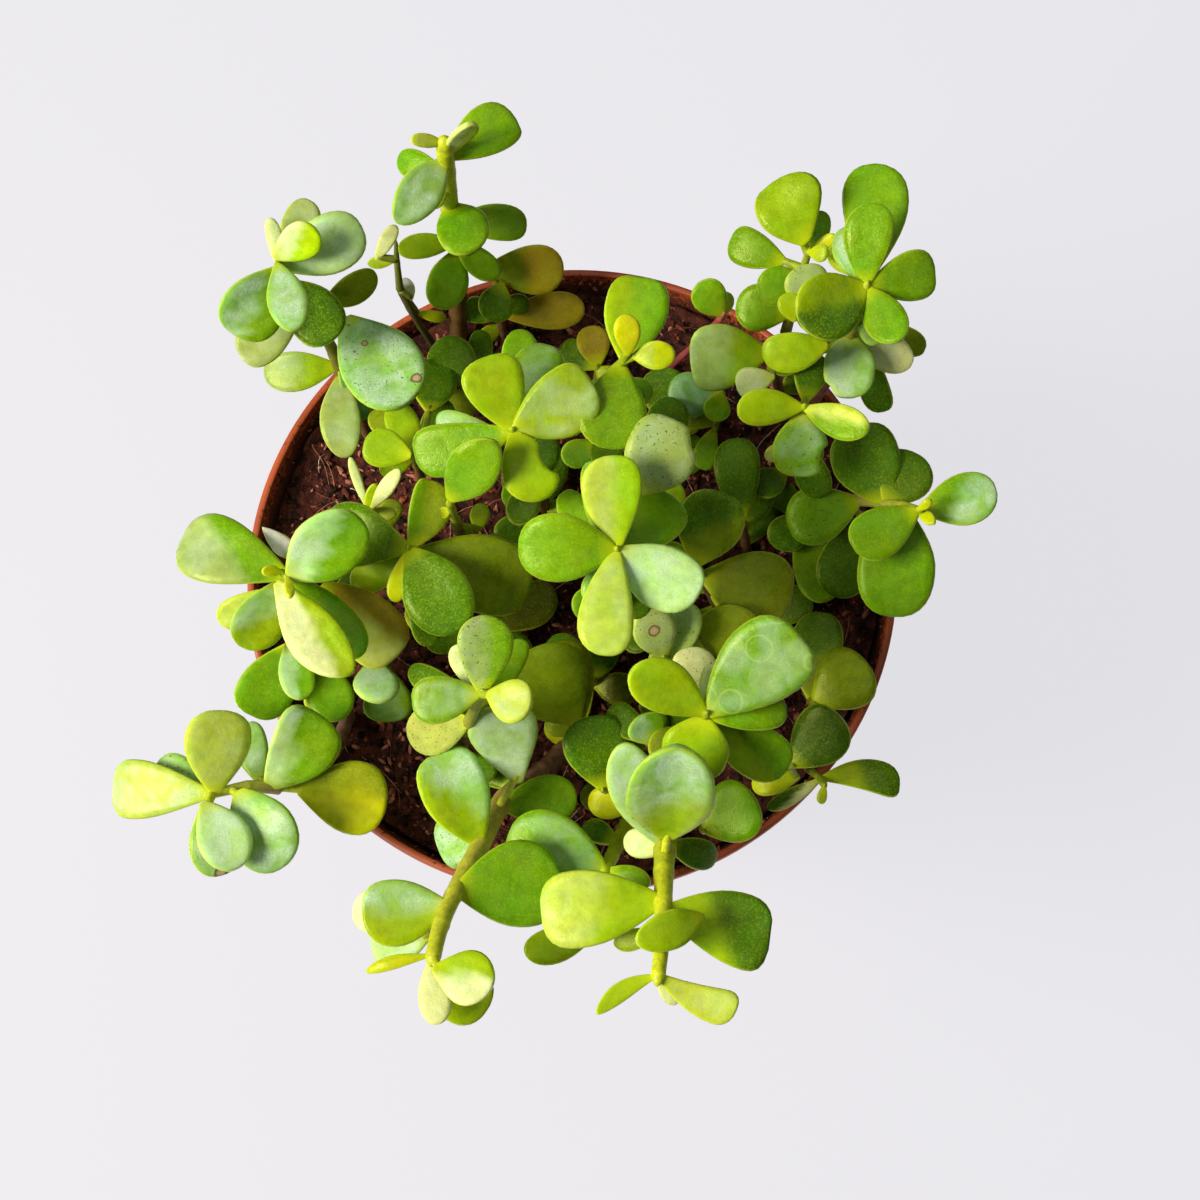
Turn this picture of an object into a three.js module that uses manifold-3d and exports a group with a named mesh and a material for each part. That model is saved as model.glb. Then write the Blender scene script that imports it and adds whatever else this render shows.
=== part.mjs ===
// A potted jade plant: many small-leaved succulent cuttings in a round terracotta-coloured plastic pot.
// Millimetres, +Z up. The origin is the middle of the pot's flat underside.

import * as THREE from "three";
import { mergeVertices } from "three/addons/utils/BufferGeometryUtils.js";
import Module from "manifold-3d";

const wasm = await Module();
wasm.setup();

// Pot
const POT_HEIGHT = 105;
const RIM_RADIUS = 63.5;
const BASE_RADIUS = 44;
const WALL = 1.5;
const FLOOR = 1.8;
const COLLAR_HEIGHT = 16;
const COLLAR_FOOT_RADIUS = 61.8;
const NECK_RADIUS = 58.6;
const LEDGE = 1;
const LIP_DROP = 0.6;
const LIP_INSET = 0.4;
const POT_SEGMENTS = 36;
const DRAIN_COUNT = 6;
const DRAIN_RADIUS = 4;
const DRAIN_CIRCLE = 31;
const DRAIN_SEGMENTS = 12;

// Soil
const SOIL_HEIGHT = 96;
const SOIL_DOME = 1.5;
const DOME_SHOULDER = 0.6;
const SOIL_EDGE_HEIGHT = 100;
const SOIL_BANK_RADIUS = 50;
const GAP = 0.3;
const LEDGE_GAP = 0.2;

// Corners of a mesh closer than this are one corner
const MERGE = 1e-3;

// Leaves are fat blades, widest towards the tip, on next to no stalk
const LEAF_SIDES = 4;
const LEAF_RINGS = 4;
const WIDEST_AT = 0.62;
const FOOT_WIDTH = 0.15;
const LEAF_BODY = 0.9;
const LEAF_PLUMPNESS = 0.14;
const UPPER_SHARE = 0.4;
const END_PLUMPNESS = 0.45;

// Low leaves stand in opposite pairs and rise a little from the stem
const LOW_LEAF_RISE = 0.25;

// Stems
const STEM_SIDES = 5;
const STEM_STEP = 14;
const GREEN_SHARE = 0.4;
const TWIG_SIDES = 4;
const TWIG_RADIUS = 0.9;
const TWIG_FROM = 3;
const TWIG_OVERLAP = 0.1;
const TOP_INSET = 1.5;
const PATH_STEPS = 40;

// Where each leaf and stem lies was read along the sightlines of one point above the plant.
// EYE is that point, EYE_TURN the way it faces, FOCAL and MIDDLE the scale and centre of its picture.
const EYE = new THREE.Vector3(14, -81.5, 386);
const EYE_TURN = new THREE.Euler(
  THREE.MathUtils.degToRad(14.807),
  THREE.MathUtils.degToRad(1.746),
  THREE.MathUtils.degToRad(-0.294),
  "ZYX",
);
const FOCAL = 1500;
const MIDDLE = 600;

// The point at a height above the table that is seen at a column and row of the picture.
function sighted(column, row, height) {
  const ray = new THREE.Vector3((column - MIDDLE) / FOCAL, (MIDDLE - row) / FOCAL, -1);
  ray.applyEuler(EYE_TURN);
  return EYE.clone().addScaledVector(ray, (height - EYE.z) / ray.z);
}

// Each shoot: its woody foot and green top as points of column, row and height, its thickness, and its leaves.
// A leaf is the column, row and height of its foot, those of its tip, its width and its roll in degrees.
// A pair, low on the woody foot, is its height, the bearing of its first leaf, its length and its width.
const SHOOTS = {
  northwest_tall: {
    thickness: 3.8,
    woody: [[458, 392, 84], [458, 330, 104], [458, 252, 124]],
    green: [[458, 252, 124], [450, 210, 143], [446, 160, 160], [444, 137, 166]],
    leaves: [
      [449, 158, 160, 521, 129, 160, 8.4, 0],
      [441, 156, 161, 473, 124, 170, 4.5, 50],
      [443, 138, 166, 411, 139, 167, 2.4, 0],
      [438, 162, 160, 396, 223, 158, 7.6, 0],
      [439, 163, 156, 398, 159, 154, 5, 0],
      [443, 172, 154, 424, 204, 150, 4.5, 0],
      [458, 203, 145, 471, 253, 146, 10, 0],
      [447, 212, 138, 527, 225, 136, 6.8, 0],
      [454, 238, 128, 398, 250, 130, 4.8, 0],
      [455, 250, 126, 437, 308, 125, 7.6, 0],
      [456, 242, 128, 499, 276, 124, 5.8, 0],
    ],
  },
  north_low: {
    thickness: 2,
    woody: [[508, 380, 84], [505, 345, 100], [500, 316, 107]],
    green: [[500, 316, 107], [498, 290, 114]],
    leaves: [
      [486, 268, 117, 564, 270, 116, 9.6, 0],
      [502, 283, 118, 490, 321, 117, 7, 0],
      [500, 305, 110, 529, 303, 110, 4.4, 0],
      [512, 308, 107, 585, 309, 106, 7.6, 0],
      [503, 325, 104, 480, 342, 103, 3.6, 0],
      [494, 326, 106, 465, 306, 108, 5.6, 0],
    ],
  },
  north_thin: {
    thickness: 1.6,
    woody: [[464, 398, 84], [436, 350, 100], [412, 312, 114], [400, 290, 119]],
    green: [[400, 290, 119], [397, 262, 125], [396, 240, 130]],
    leaves: [
      [376, 260, 126, 396, 226, 132, 3, 0],
      [394, 262, 126, 368, 264, 123, 2.4, 0],
      [412, 300, 117, 404, 278, 118, 3.4, 30],
      [414, 312, 113, 446, 318, 109, 2.4, 0],
    ],
  },
  northwest_rosette: {
    thickness: 2.6,
    woody: [[380, 458, 84], [362, 420, 104], [342, 375, 118]],
    green: [[342, 375, 118], [330, 345, 127], [300, 300, 140], [276, 262, 151]],
    leaves: [
      [274, 258, 154, 318, 231, 157, 6.6, 0],
      [290, 262, 150, 362, 226, 151, 10, 0],
      [283, 255, 146, 310, 200, 148, 6.5, 0],
      [274, 256, 150, 270, 218, 151, 3, 0],
      [273, 262, 150, 229, 332, 147, 10.5, 0],
      [277, 263, 153, 295, 331, 154, 6.8, 0],
      [292, 272, 145, 334, 340, 142, 10.5, 0],
      [322, 305, 138, 376, 273, 137, 5.6, 0],
      [297, 322, 139, 240, 356, 137, 8, 0],
      [336, 370, 121, 264, 373, 119, 7.6, 0],
      [345, 318, 133, 404, 406, 135, 15, 0],
      [343, 374, 119, 345, 458, 117, 7.8, 0],
      [338, 365, 121, 366, 420, 116, 4.4, 0],
    ],
  },
  west_rosette: {
    thickness: 2.8,
    woody: [[378, 655, 84], [352, 632, 108], [325, 606, 124]],
    green: [[325, 606, 124], [300, 584, 137], [284, 573, 144]],
    pairs: [[121, 40, 9, 6.5], [110, 130, 8, 6]],
    leaves: [
      [280, 568, 142, 184, 536, 139, 12, 0],
      [298, 560, 139, 262, 527, 141, 3.6, 0],
      [279, 582, 138, 243, 648, 134, 9, 0],
      [272, 590, 133, 219, 622, 130, 6, 0],
      [277, 581, 147, 352, 674, 148, 8.8, 0],
      [300, 586, 142, 362, 656, 140, 8, 0],
      [322, 584, 136, 398, 656, 132, 11.5, 0],
      [283, 572, 146, 262, 571, 148, 2, 0],
      [286, 575, 147, 290, 597, 151, 1.7, 0],
      [288, 577, 147, 362, 519, 150, 11.2, 0],
    ],
  },
  west_low: {
    thickness: 2.2,
    woody: [[366, 684, 84], [346, 680, 102], [318, 672, 112]],
    green: [[318, 672, 112], [288, 641, 127]],
    pairs: [[107, 60, 7, 5.5]],
    leaves: [
      [287, 641, 126, 252, 716, 121, 10.5, 0],
      [288, 642, 129, 303, 699, 131, 6.2, 0],
      [318, 672, 117, 343, 719, 117, 8.6, 0],
      [310, 668, 113, 316, 713, 107, 4, 0],
    ],
  },
  southwest_pale: {
    thickness: 2,
    woody: [[404, 700, 84], [400, 688, 100], [390, 672, 112]],
    green: [[390, 672, 112], [372, 658, 124]],
    leaves: [
      [370, 657, 125, 380, 702, 127, 8.2, 0],
      [392, 672, 113, 392, 722, 110, 9.5, 0],
    ],
  },
  west_node: {
    thickness: 2.4,
    woody: [[435, 620, 84], [430, 598, 108], [418, 570, 126]],
    green: [[418, 570, 126], [408, 546, 142]],
    pairs: [[114, 80, 8.5, 6]],
    leaves: [
      [406, 547, 142, 322, 528, 137, 10.8, 0],
      [409, 549, 137, 530, 590, 130, 13.6, 0],
      [410, 555, 142, 462, 630, 139, 11.6, 0],
      [404, 554, 141, 394, 602, 138, 3.8, 0],
      [406, 556, 135, 352, 586, 130, 6, 0],
      [407, 543, 142, 429, 479, 142, 7.2, 0],
      [420, 572, 124, 430, 646, 120, 6, 0],
    ],
  },
  west_sprout: {
    thickness: 1.8,
    woody: [[395, 565, 84], [386, 545, 104], [378, 530, 116]],
    green: [[378, 530, 116], [368, 509, 129]],
    pairs: [[113, 60, 7, 4.5]],
    leaves: [
      [362, 508, 130, 350, 457, 133, 1.9, 0],
      [365, 509, 131, 376, 484, 134, 2.2, 0],
      [371, 509, 132, 400, 469, 137, 2.9, 0],
      [374, 512, 129, 396, 514, 127, 2.6, 0],
    ],
  },
  southwest_low: {
    thickness: 2.8,
    woody: [[356, 716, 84], [347, 720, 99], [336, 748, 105], [318, 769, 111], [280, 787, 118]],
    green: [[280, 787, 118], [245, 787, 122], [204, 796, 126]],
    leaves: [
      [298, 789, 118, 387, 805, 117, 13, 0],
      [270, 784, 121, 306, 707, 125, 12, 0],
      [262, 785, 117, 250, 722, 115, 6, 0],
      [214, 787, 126, 217, 710, 130, 11.6, 0],
      [200, 798, 125, 114, 786, 121, 10.3, 0],
      [206, 794, 122, 158, 762, 122, 7, 0],
      [238, 790, 126, 280, 870, 124, 12.6, 18],
      [203, 802, 129, 238, 869, 129, 9, 0],
      [204, 804, 121, 221, 876, 118, 9.4, 0],
    ],
  },
  south_arm: {
    thickness: 4,
    woody: [[572, 735, 84], [564, 750, 100], [545, 768, 105], [522, 784, 110]],
    green: [[522, 784, 110], [502, 802, 115], [483, 840, 123], [458, 886, 131], [441, 925, 136], [431, 966, 140]],
    leaves: [
      [512, 808, 116, 577, 796, 114, 9, 0],
      [519, 782, 122, 499, 707, 138, 11.6, 0],
      [518, 784, 112, 476, 752, 109, 8, 0],
      [481, 836, 125, 440, 751, 129, 12, 0],
      [478, 838, 120, 438, 846, 117, 9.4, 0],
      [459, 889, 133, 562, 890, 128, 14.6, 0],
      [446, 905, 134, 362, 906, 135, 11, 0],
      [440, 920, 130, 353, 908, 127, 8, 0],
      [430, 935, 128, 372, 950, 126, 8, 0],
      [431, 964, 139, 366, 972, 138, 2.2, 0],
      [433, 968, 142, 494, 984, 143, 8.4, 0],
      [428, 972, 136, 486, 1012, 133, 10.5, 0],
      [430, 972, 140, 436, 1025, 140, 5.4, 0],
    ],
  },
  south_tip: {
    thickness: 4.2,
    woody: [[674, 785, 84], [671, 806, 106], [666, 835, 124]],
    green: [[666, 835, 124], [664, 865, 133], [663, 905, 139], [661, 950, 143], [657, 986, 146]],
    leaves: [
      [667, 838, 134, 678, 748, 156, 14.2, 0],
      [665, 842, 128, 622, 744, 143, 8.6, 0],
      [660, 903, 138, 541, 914, 136, 12.6, 0],
      [667, 912, 139, 771, 931, 137, 12, 0],
      [704, 916, 143, 636, 942, 147, 6.2, 0],
      [656, 982, 146, 596, 1014, 145, 3, 0],
      [660, 987, 147, 737, 1010, 145, 5.6, 0],
      [656, 988, 144, 676, 1004, 142, 2.4, 0],
      [662, 930, 134, 614, 944, 131, 3.6, 0],
      [667, 852, 126, 716, 858, 119, 5.5, 0],
      [664, 862, 129, 625, 838, 124, 5, 0],
    ],
  },
  south_second: {
    thickness: 3.8,
    woody: [[650, 765, 84], [645, 785, 101], [641, 800, 106]],
    green: [[641, 800, 106], [622, 835, 115], [603, 876, 125]],
    leaves: [
      [602, 877, 126, 508, 834, 124, 10.8, 0],
      [598, 930, 122, 524, 952, 122, 6.2, 0],
      [604, 874, 123, 650, 884, 126, 4, 0],
      [641, 802, 114, 588, 802, 113, 6, 0],
      [614, 850, 116, 584, 826, 112, 4.5, 0],
    ],
  },
  south_heart: {
    thickness: 2,
    woody: [[612, 760, 84], [610, 772, 104], [605, 788, 116]],
    green: [[605, 788, 116], [603, 790, 120]],
    pairs: [[107, 60, 7.5, 5.5]],
    leaves: [
      [604, 790, 119, 590, 716, 122, 11.8, 0],
    ],
  },
  centre_low: {
    thickness: 2,
    woody: [[640, 745, 84], [645, 740, 108], [650, 742, 120]],
    green: [[650, 742, 120], [654, 744, 128]],
    pairs: [[110, 30, 8, 6]],
    leaves: [
      [654, 744, 128, 640, 716, 130, 7.5, 0],
      [650, 740, 121, 610, 707, 120, 5.5, 0],
    ],
  },
  southeast_top: {
    thickness: 2.8,
    woody: [[690, 775, 84], [693, 752, 112], [700, 731, 132]],
    green: [[700, 731, 132], [707, 712, 150]],
    pairs: [[126, 20, 9, 6.5], [112, 100, 9, 6]],
    leaves: [
      [711, 711, 151, 803, 638, 156, 13.4, 0],
      [716, 716, 147, 787, 712, 145, 7, 0],
      [718, 728, 143, 789, 766, 138, 9, 0],
      [711, 706, 147, 713, 664, 147, 4.5, 0],
      [704, 712, 151, 631, 670, 155, 8.6, 0],
      [706, 703, 147, 692, 775, 142, 11.4, 0],
      [698, 714, 144, 686, 648, 144, 7.4, 0],
    ],
  },
  southeast_low: {
    thickness: 2,
    woody: [[695, 800, 84], [700, 815, 102], [704, 828, 116]],
    green: [[704, 828, 116], [704, 832, 121]],
    leaves: [
      [704, 832, 121, 757, 801, 124, 11.6, 0],
    ],
  },
  east_dark: {
    thickness: 2.2,
    woody: [[770, 735, 84], [778, 748, 104], [790, 764, 116]],
    green: [[790, 764, 116], [793, 766, 120]],
    leaves: [
      [793, 768, 121, 838, 714, 125, 10.8, 0],
      [800, 776, 113, 752, 786, 110, 4.8, 0],
    ],
  },
  east_olive: {
    thickness: 2,
    woody: [[800, 675, 84], [806, 690, 100], [812, 702, 108]],
    green: [[812, 702, 108], [815, 704, 112]],
    leaves: [
      [815, 704, 113, 868, 663, 114, 12, 0],
      [812, 700, 107, 822, 612, 108, 10, 0],
    ],
  },
  east_sprout: {
    thickness: 1.8,
    woody: [[784, 728, 84], [800, 754, 104], [808, 768, 110]],
    green: [[808, 768, 110], [823, 781, 118]],
    leaves: [
      [822, 783, 119, 768, 809, 114, 3, 0],
      [825, 782, 119, 900, 785, 117, 6.2, 0],
      [825, 784, 120, 821, 804, 119, 1.8, 0],
    ],
  },
  east_arm: {
    thickness: 2.4,
    woody: [[780, 520, 84], [790, 508, 102], [838, 498, 118]],
    green: [[838, 498, 118], [880, 503, 129], [905, 506, 134], [926, 512, 139]],
    leaves: [
      [930, 511, 140, 996, 488, 139, 9, 0],
      [911, 506, 138, 852, 546, 137, 9, 0],
      [908, 512, 132, 891, 617, 128, 13.6, 0],
      [876, 502, 131, 862, 424, 134, 12.5, 0],
      [888, 500, 130, 923, 458, 130, 11, 0],
      [922, 511, 140, 934, 523, 142, 2.2, 0],
      [918, 510, 141, 931, 500, 143, 1.7, 0],
      [862, 505, 123, 789, 530, 121, 10.4, 0],
      [868, 512, 116, 834, 597, 112, 10.6, 0],
    ],
  },
  northeast_tall: {
    thickness: 3,
    woody: [[771, 459, 84], [792, 428, 104], [822, 385, 124], [840, 352, 138]],
    green: [[840, 352, 138], [856, 320, 148], [868, 281, 158]],
    leaves: [
      [872, 272, 153, 868, 165, 154, 11.6, 0],
      [870, 277, 159, 876, 203, 163, 8, 0],
      [867, 275, 156, 843, 228, 157, 5.5, 0],
      [875, 278, 157, 935, 276, 155, 8.2, 0],
      [866, 283, 159, 799, 322, 158, 11.4, 0],
      [877, 281, 159, 901, 340, 158, 7.2, 0],
      [862, 276, 153, 832, 245, 152, 5, 0],
      [866, 300, 149, 876, 345, 148, 4.6, 0],
      [845, 338, 144, 845, 398, 142, 9.2, 0],
      [840, 340, 143, 832, 372, 141, 3.6, 0],
      [862, 330, 143, 912, 364, 139, 7, 0],
      [856, 325, 137, 925, 350, 134, 5, 0],
      [866, 332, 134, 884, 412, 128, 5.4, 0],
      [829, 345, 151, 762, 352, 150, 7, 0],
      [826, 350, 144, 775, 371, 141, 4, 0],
    ],
  },
  northeast_back: {
    thickness: 2.2,
    woody: [[741, 429, 84], [762, 390, 104], [785, 335, 124]],
    green: [[785, 335, 124], [797, 290, 138], [810, 247, 152]],
    leaves: [
      [806, 245, 153, 763, 190, 155, 11.6, 0],
      [808, 243, 149, 824, 212, 149, 5, 0],
      [786, 262, 145, 731, 238, 144, 7, 0],
      [803, 262, 143, 759, 294, 142, 7.4, 0],
      [814, 304, 145, 800, 266, 148, 7.6, 0],
      [782, 322, 131, 736, 304, 130, 8.4, 0],
      [795, 322, 144, 786, 293, 146, 4.4, 0],
      [808, 252, 155, 828, 252, 157, 3, 0],
      [812, 245, 152, 835, 235, 153, 2.2, 0],
    ],
  },
  north_red: {
    thickness: 1.5,
    woody: [[668, 384, 84], [672, 366, 99], [700, 340, 106], [720, 319, 112]],
    green: [[720, 319, 112], [725, 312, 115]],
    leaves: [
      [722, 316, 115, 699, 283, 119, 7, 0],
      [725, 315, 112, 726, 292, 112, 4, 0],
    ],
  },
  east_fork: {
    thickness: 2.4,
    woody: [[778, 505, 84], [786, 475, 110], [793, 448, 126]],
    green: [[793, 448, 126], [805, 404, 146]],
    pairs: [[113, 40, 8, 6]],
    leaves: [
      [803, 403, 147, 737, 410, 146, 6.4, 0],
      [807, 404, 147, 869, 430, 149, 6, 0],
      [803, 407, 143, 800, 477, 140, 9.5, 0],
      [805, 402, 140, 814, 353, 138, 6.5, 0],
      [800, 424, 131, 822, 497, 126, 6.6, 0],
      [795, 438, 129, 765, 458, 127, 3, 0],
    ],
  },
  northeast_pale: {
    thickness: 2,
    woody: [[761, 444, 84], [779, 404, 106], [776, 372, 122]],
    green: [[776, 372, 122], [768, 354, 130]],
    pairs: [[112, 30, 7, 5]],
    leaves: [
      [768, 353, 132, 690, 362, 132, 12, 0],
      [775, 376, 133, 736, 386, 131, 5.6, 0],
    ],
  },
  east_blue: {
    thickness: 1.8,
    woody: [[712, 450, 84], [716, 425, 104], [720, 405, 114]],
    green: [[720, 405, 114], [722, 390, 121]],
    leaves: [
      [720, 388, 122, 668, 398, 120, 8.6, 0],
      [722, 392, 124, 712, 420, 124, 5, 0],
      [715, 424, 116, 685, 410, 116, 5.8, 0],
      [715, 428, 112, 703, 470, 110, 4.6, 0],
    ],
  },
  east_deep: {
    thickness: 2,
    woody: [[750, 560, 84], [746, 545, 102], [742, 524, 112]],
    green: [[742, 524, 112], [741, 518, 116]],
    leaves: [
      [740, 518, 117, 736, 438, 119, 9, 0],
      [745, 530, 108, 768, 480, 108, 6, 0],
      [745, 545, 102, 770, 502, 101, 6, 0],
    ],
  },
  north_node: {
    thickness: 2.4,
    woody: [[598, 478, 84], [602, 435, 120], [609, 385, 147]],
    green: [[609, 385, 147], [613, 373, 152], [627, 357, 161]],
    pairs: [[138, 10, 8.5, 5.5], [124, 95, 9, 6], [111, 20, 8, 6]],
    leaves: [
      [631, 352, 159, 639, 278, 157, 11, 0],
      [628, 356, 163, 626, 314, 167, 4.4, 0],
      [632, 356, 162, 675, 354, 163, 4.7, 0],
      [621, 366, 157, 608, 449, 156, 11.2, 0],
    ],
  },
  middle_round: {
    thickness: 2.4,
    woody: [[660, 575, 84], [650, 545, 112], [640, 515, 132]],
    green: [[640, 515, 132], [632, 492, 147]],
    pairs: [[124, 60, 9, 6.5], [111, 150, 8, 6]],
    leaves: [
      [640, 494, 157, 672, 418, 162, 11.6, 0],
      [656, 464, 127, 672, 398, 122, 8, 0],
      [640, 512, 134, 682, 486, 137, 8, 0],
    ],
  },
  middle_cross: {
    thickness: 2.6,
    woody: [[622, 645, 84], [621, 615, 118], [619, 580, 142]],
    green: [[619, 580, 142], [617, 547, 162]],
    pairs: [[136, 30, 9, 6], [122, 120, 9, 6.5], [110, 40, 8, 6]],
    leaves: [
      [618, 542, 163, 613, 455, 166, 9.3, 0],
      [612, 547, 162, 518, 548, 160, 11, 0],
      [616, 550, 163, 606, 656, 161, 8.7, 0],
      [623, 543, 162, 700, 594, 159, 10.5, 0],
      [616, 560, 155, 592, 608, 153, 7, 0],
      [619, 562, 152, 642, 618, 149, 6.5, 0],
      [620, 548, 155, 676, 500, 151, 10, 0],
      [613, 545, 154, 590, 461, 156, 6, 0],
      [612, 550, 152, 563, 492, 149, 5.6, 0],
    ],
  },
  north_pair: {
    thickness: 2.6,
    woody: [[560, 545, 84], [548, 512, 110], [524, 466, 138]],
    green: [[524, 466, 138], [512, 428, 158]],
    pairs: [[128, 70, 9, 6], [114, 160, 8.5, 6]],
    leaves: [
      [513, 426, 159, 490, 355, 161, 10.2, 0],
      [509, 429, 159, 414, 453, 152, 9, 0],
      [517, 424, 158, 590, 378, 160, 11, 0],
      [515, 429, 158, 544, 500, 155, 9.2, 0],
      [517, 440, 150, 548, 345, 150, 9, 0],
      [520, 402, 135, 520, 330, 128, 7, 0],
      [512, 432, 151, 437, 417, 145, 5, 0],
    ],
  },
  middle_left: {
    thickness: 2,
    woody: [[478, 595, 84], [470, 565, 112], [458, 527, 134]],
    green: [[458, 527, 134], [449, 502, 151]],
    pairs: [[112, 30, 8.5, 6]],
    leaves: [
      [449, 500, 153, 496, 442, 163, 8.2, 0],
      [450, 506, 146, 441, 514, 143, 2, 0],
      [478, 531, 121, 482, 504, 120, 3.8, 0],
      [476, 540, 118, 456, 530, 117, 3.4, 0],
    ],
  },
  north_leafy: {
    thickness: 2,
    woody: [[428, 510, 84], [424, 488, 106], [418, 466, 120]],
    green: [[418, 466, 120], [413, 448, 133]],
    leaves: [
      [412, 456, 134, 363, 447, 134, 7, 0],
      [415, 445, 129, 392, 405, 128, 6.4, 0],
      [408, 448, 127, 372, 412, 124, 5, 0],
      [420, 470, 127, 380, 472, 127, 4.2, 0],
      [425, 475, 116, 445, 400, 112, 7, 0],
      [429, 412, 117, 436, 360, 112, 9, 0],
    ],
  },
  south_node: {
    thickness: 2.6,
    woody: [[455, 778, 84], [458, 760, 108], [466, 732, 130]],
    green: [[466, 732, 130], [475, 708, 142], [483, 690, 151]],
    pairs: [[124, 60, 9, 6], [111, 150, 8, 5.5]],
    leaves: [
      [482, 686, 152, 486, 615, 153, 9, 0],
      [480, 684, 147, 454, 646, 145, 4.6, 0],
      [479, 692, 151, 412, 702, 148, 7.8, 0],
      [487, 694, 153, 531, 708, 156, 7.2, 0],
      [470, 716, 136, 410, 740, 127, 8.6, 0],
      [481, 690, 144, 410, 668, 139, 5, 0],
      [492, 702, 136, 524, 640, 133, 5, 0],
    ],
  },
  south_olive: {
    thickness: 2,
    woody: [[598, 762, 84], [590, 745, 102], [578, 728, 112]],
    green: [[578, 728, 112], [576, 721, 117]],
    leaves: [
      [577, 722, 118, 520, 656, 122, 15, 0],
      [572, 730, 110, 560, 640, 113, 10, 0],
      [578, 732, 109, 546, 720, 108, 4.5, 0],
    ],
  },
  east_pair: {
    thickness: 2.2,
    woody: [[726, 625, 84], [716, 603, 112], [704, 580, 130]],
    green: [[704, 580, 130], [694, 562, 141]],
    pairs: [[122, 150, 9, 6.5], [110, 60, 8, 6]],
    leaves: [
      [694, 562, 142, 722, 492, 144, 11.4, 0],
      [702, 586, 133, 793, 592, 131, 13.4, 0],
    ],
  },
  southeast_olive: {
    thickness: 2,
    woody: [[726, 700, 84], [730, 685, 108], [734, 668, 124]],
    green: [[734, 668, 124], [736, 660, 130]],
    pairs: [[112, 20, 8, 6]],
    leaves: [
      [736, 662, 131, 722, 606, 135, 11.5, 0],
      [734, 668, 124, 756, 622, 123, 6, 0],
    ],
  },
  middle_scarred: {
    thickness: 2,
    woody: [[668, 700, 84], [667, 680, 116], [666, 665, 130]],
    green: [[666, 665, 130], [664, 656, 138]],
    pairs: [[114, 60, 8, 6]],
    leaves: [
      [664, 656, 139, 646, 606, 143, 7.4, 0],
      [667, 662, 134, 690, 602, 138, 7.4, 0],
      [652, 702, 132, 690, 632, 134, 9.6, 0],
    ],
  },
  undergrowth: {
    thickness: 2,
    woody: [[530, 530, 84], [532, 522, 98]],
    green: [[532, 522, 98], [534, 512, 104]],
    leaves: [
      [533, 514, 103, 503, 548, 101, 9, 0],
      [536, 510, 104, 558, 455, 103, 8, 0],
      [533, 511, 104, 512, 462, 103, 8, 0],
      [536, 520, 101, 585, 560, 100, 7.5, 0],
    ],
  },
  north_gap: {
    thickness: 2,
    woody: [[600, 395, 84], [598, 378, 100]],
    green: [[598, 378, 100], [597, 364, 105]],
    leaves: [
      [597, 363, 105, 590, 326, 105, 6.8, 0],
      [598, 368, 104, 626, 396, 103, 7, 0],
      [597, 366, 104, 562, 345, 103, 6, 0],
    ],
  },
  north_shade: {
    thickness: 2,
    woody: [[496, 432, 84], [484, 404, 100]],
    green: [[484, 404, 100], [478, 382, 112]],
    leaves: [
      [477, 384, 111, 434, 344, 112, 9.6, 0],
      [480, 390, 108, 446, 412, 106, 6.5, 0],
      [482, 396, 105, 516, 376, 105, 7, 0],
      [478, 380, 112, 480, 330, 110, 5, 0],
    ],
  },
  middle_shade: {
    thickness: 2,
    woody: [[668, 455, 84], [667, 436, 100]],
    green: [[667, 436, 100], [667, 420, 106]],
    leaves: [
      [667, 421, 105, 662, 368, 107, 9, 0],
      [667, 423, 105, 698, 410, 107, 7, 0],
      [667, 430, 103, 700, 470, 102, 8, 0],
      [667, 428, 103, 636, 462, 102, 8, 0],
    ],
  },
  west_shade: {
    thickness: 2,
    woody: [[470, 650, 84], [474, 634, 98]],
    green: [[474, 634, 98], [476, 622, 106]],
    leaves: [
      [477, 622, 105, 556, 592, 106, 9, 0],
      [475, 628, 102, 424, 640, 104, 7, 0],
      [476, 624, 104, 530, 664, 102, 8.5, 0],
    ],
  },
  south_shade: {
    thickness: 2,
    woody: [[590, 705, 84], [592, 690, 98]],
    green: [[592, 690, 98], [594, 678, 106]],
    leaves: [
      [594, 679, 105, 604, 634, 107, 7, 0],
      [593, 684, 102, 638, 690, 104, 6.5, 0],
      [593, 682, 103, 548, 640, 105, 7.5, 0],
      [592, 688, 100, 552, 742, 99, 7, 0],
    ],
  },
  east_middle: {
    thickness: 2,
    woody: [[798, 540, 84], [800, 524, 102]],
    green: [[800, 524, 102], [802, 511, 108]],
    leaves: [
      [801, 513, 107, 772, 545, 106, 7.6, 0],
      [802, 522, 102, 826, 602, 104, 9, 0],
      [800, 516, 105, 766, 480, 104, 6, 0],
    ],
  },
  east_shade: {
    thickness: 2,
    woody: [[768, 652, 84], [770, 636, 98]],
    green: [[770, 636, 98], [772, 624, 105]],
    leaves: [
      [772, 625, 104, 744, 578, 104, 8, 0],
      [772, 627, 103, 806, 590, 103, 7, 0],
      [771, 634, 100, 800, 690, 101, 8.5, 0],
      [770, 632, 101, 722, 652, 100, 8, 0],
    ],
  },
};

// The shoots whose woody foot is bare and in plain sight, so it is a piece of its own.
const BARE_STEMS = new Set([
  "northwest_tall",
  "northwest_rosette",
  "southwest_low",
  "south_arm",
  "south_tip",
  "south_second",
  "east_arm",
  "northeast_tall",
  "northeast_back",
  "north_red",
]);

// A colour, roughness and metalness for each kind of piece.
const looks = {
  pot: { color: "#c4622f", roughness: 0.55, metalness: 0 },
  soil: { color: "#2c1a14", roughness: 1, metalness: 0 },
  bark: { color: "#8a5a3c", roughness: 0.85, metalness: 0 },
  leaf: { color: "#7fa62b", roughness: 0.4, metalness: 0 },
};

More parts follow.
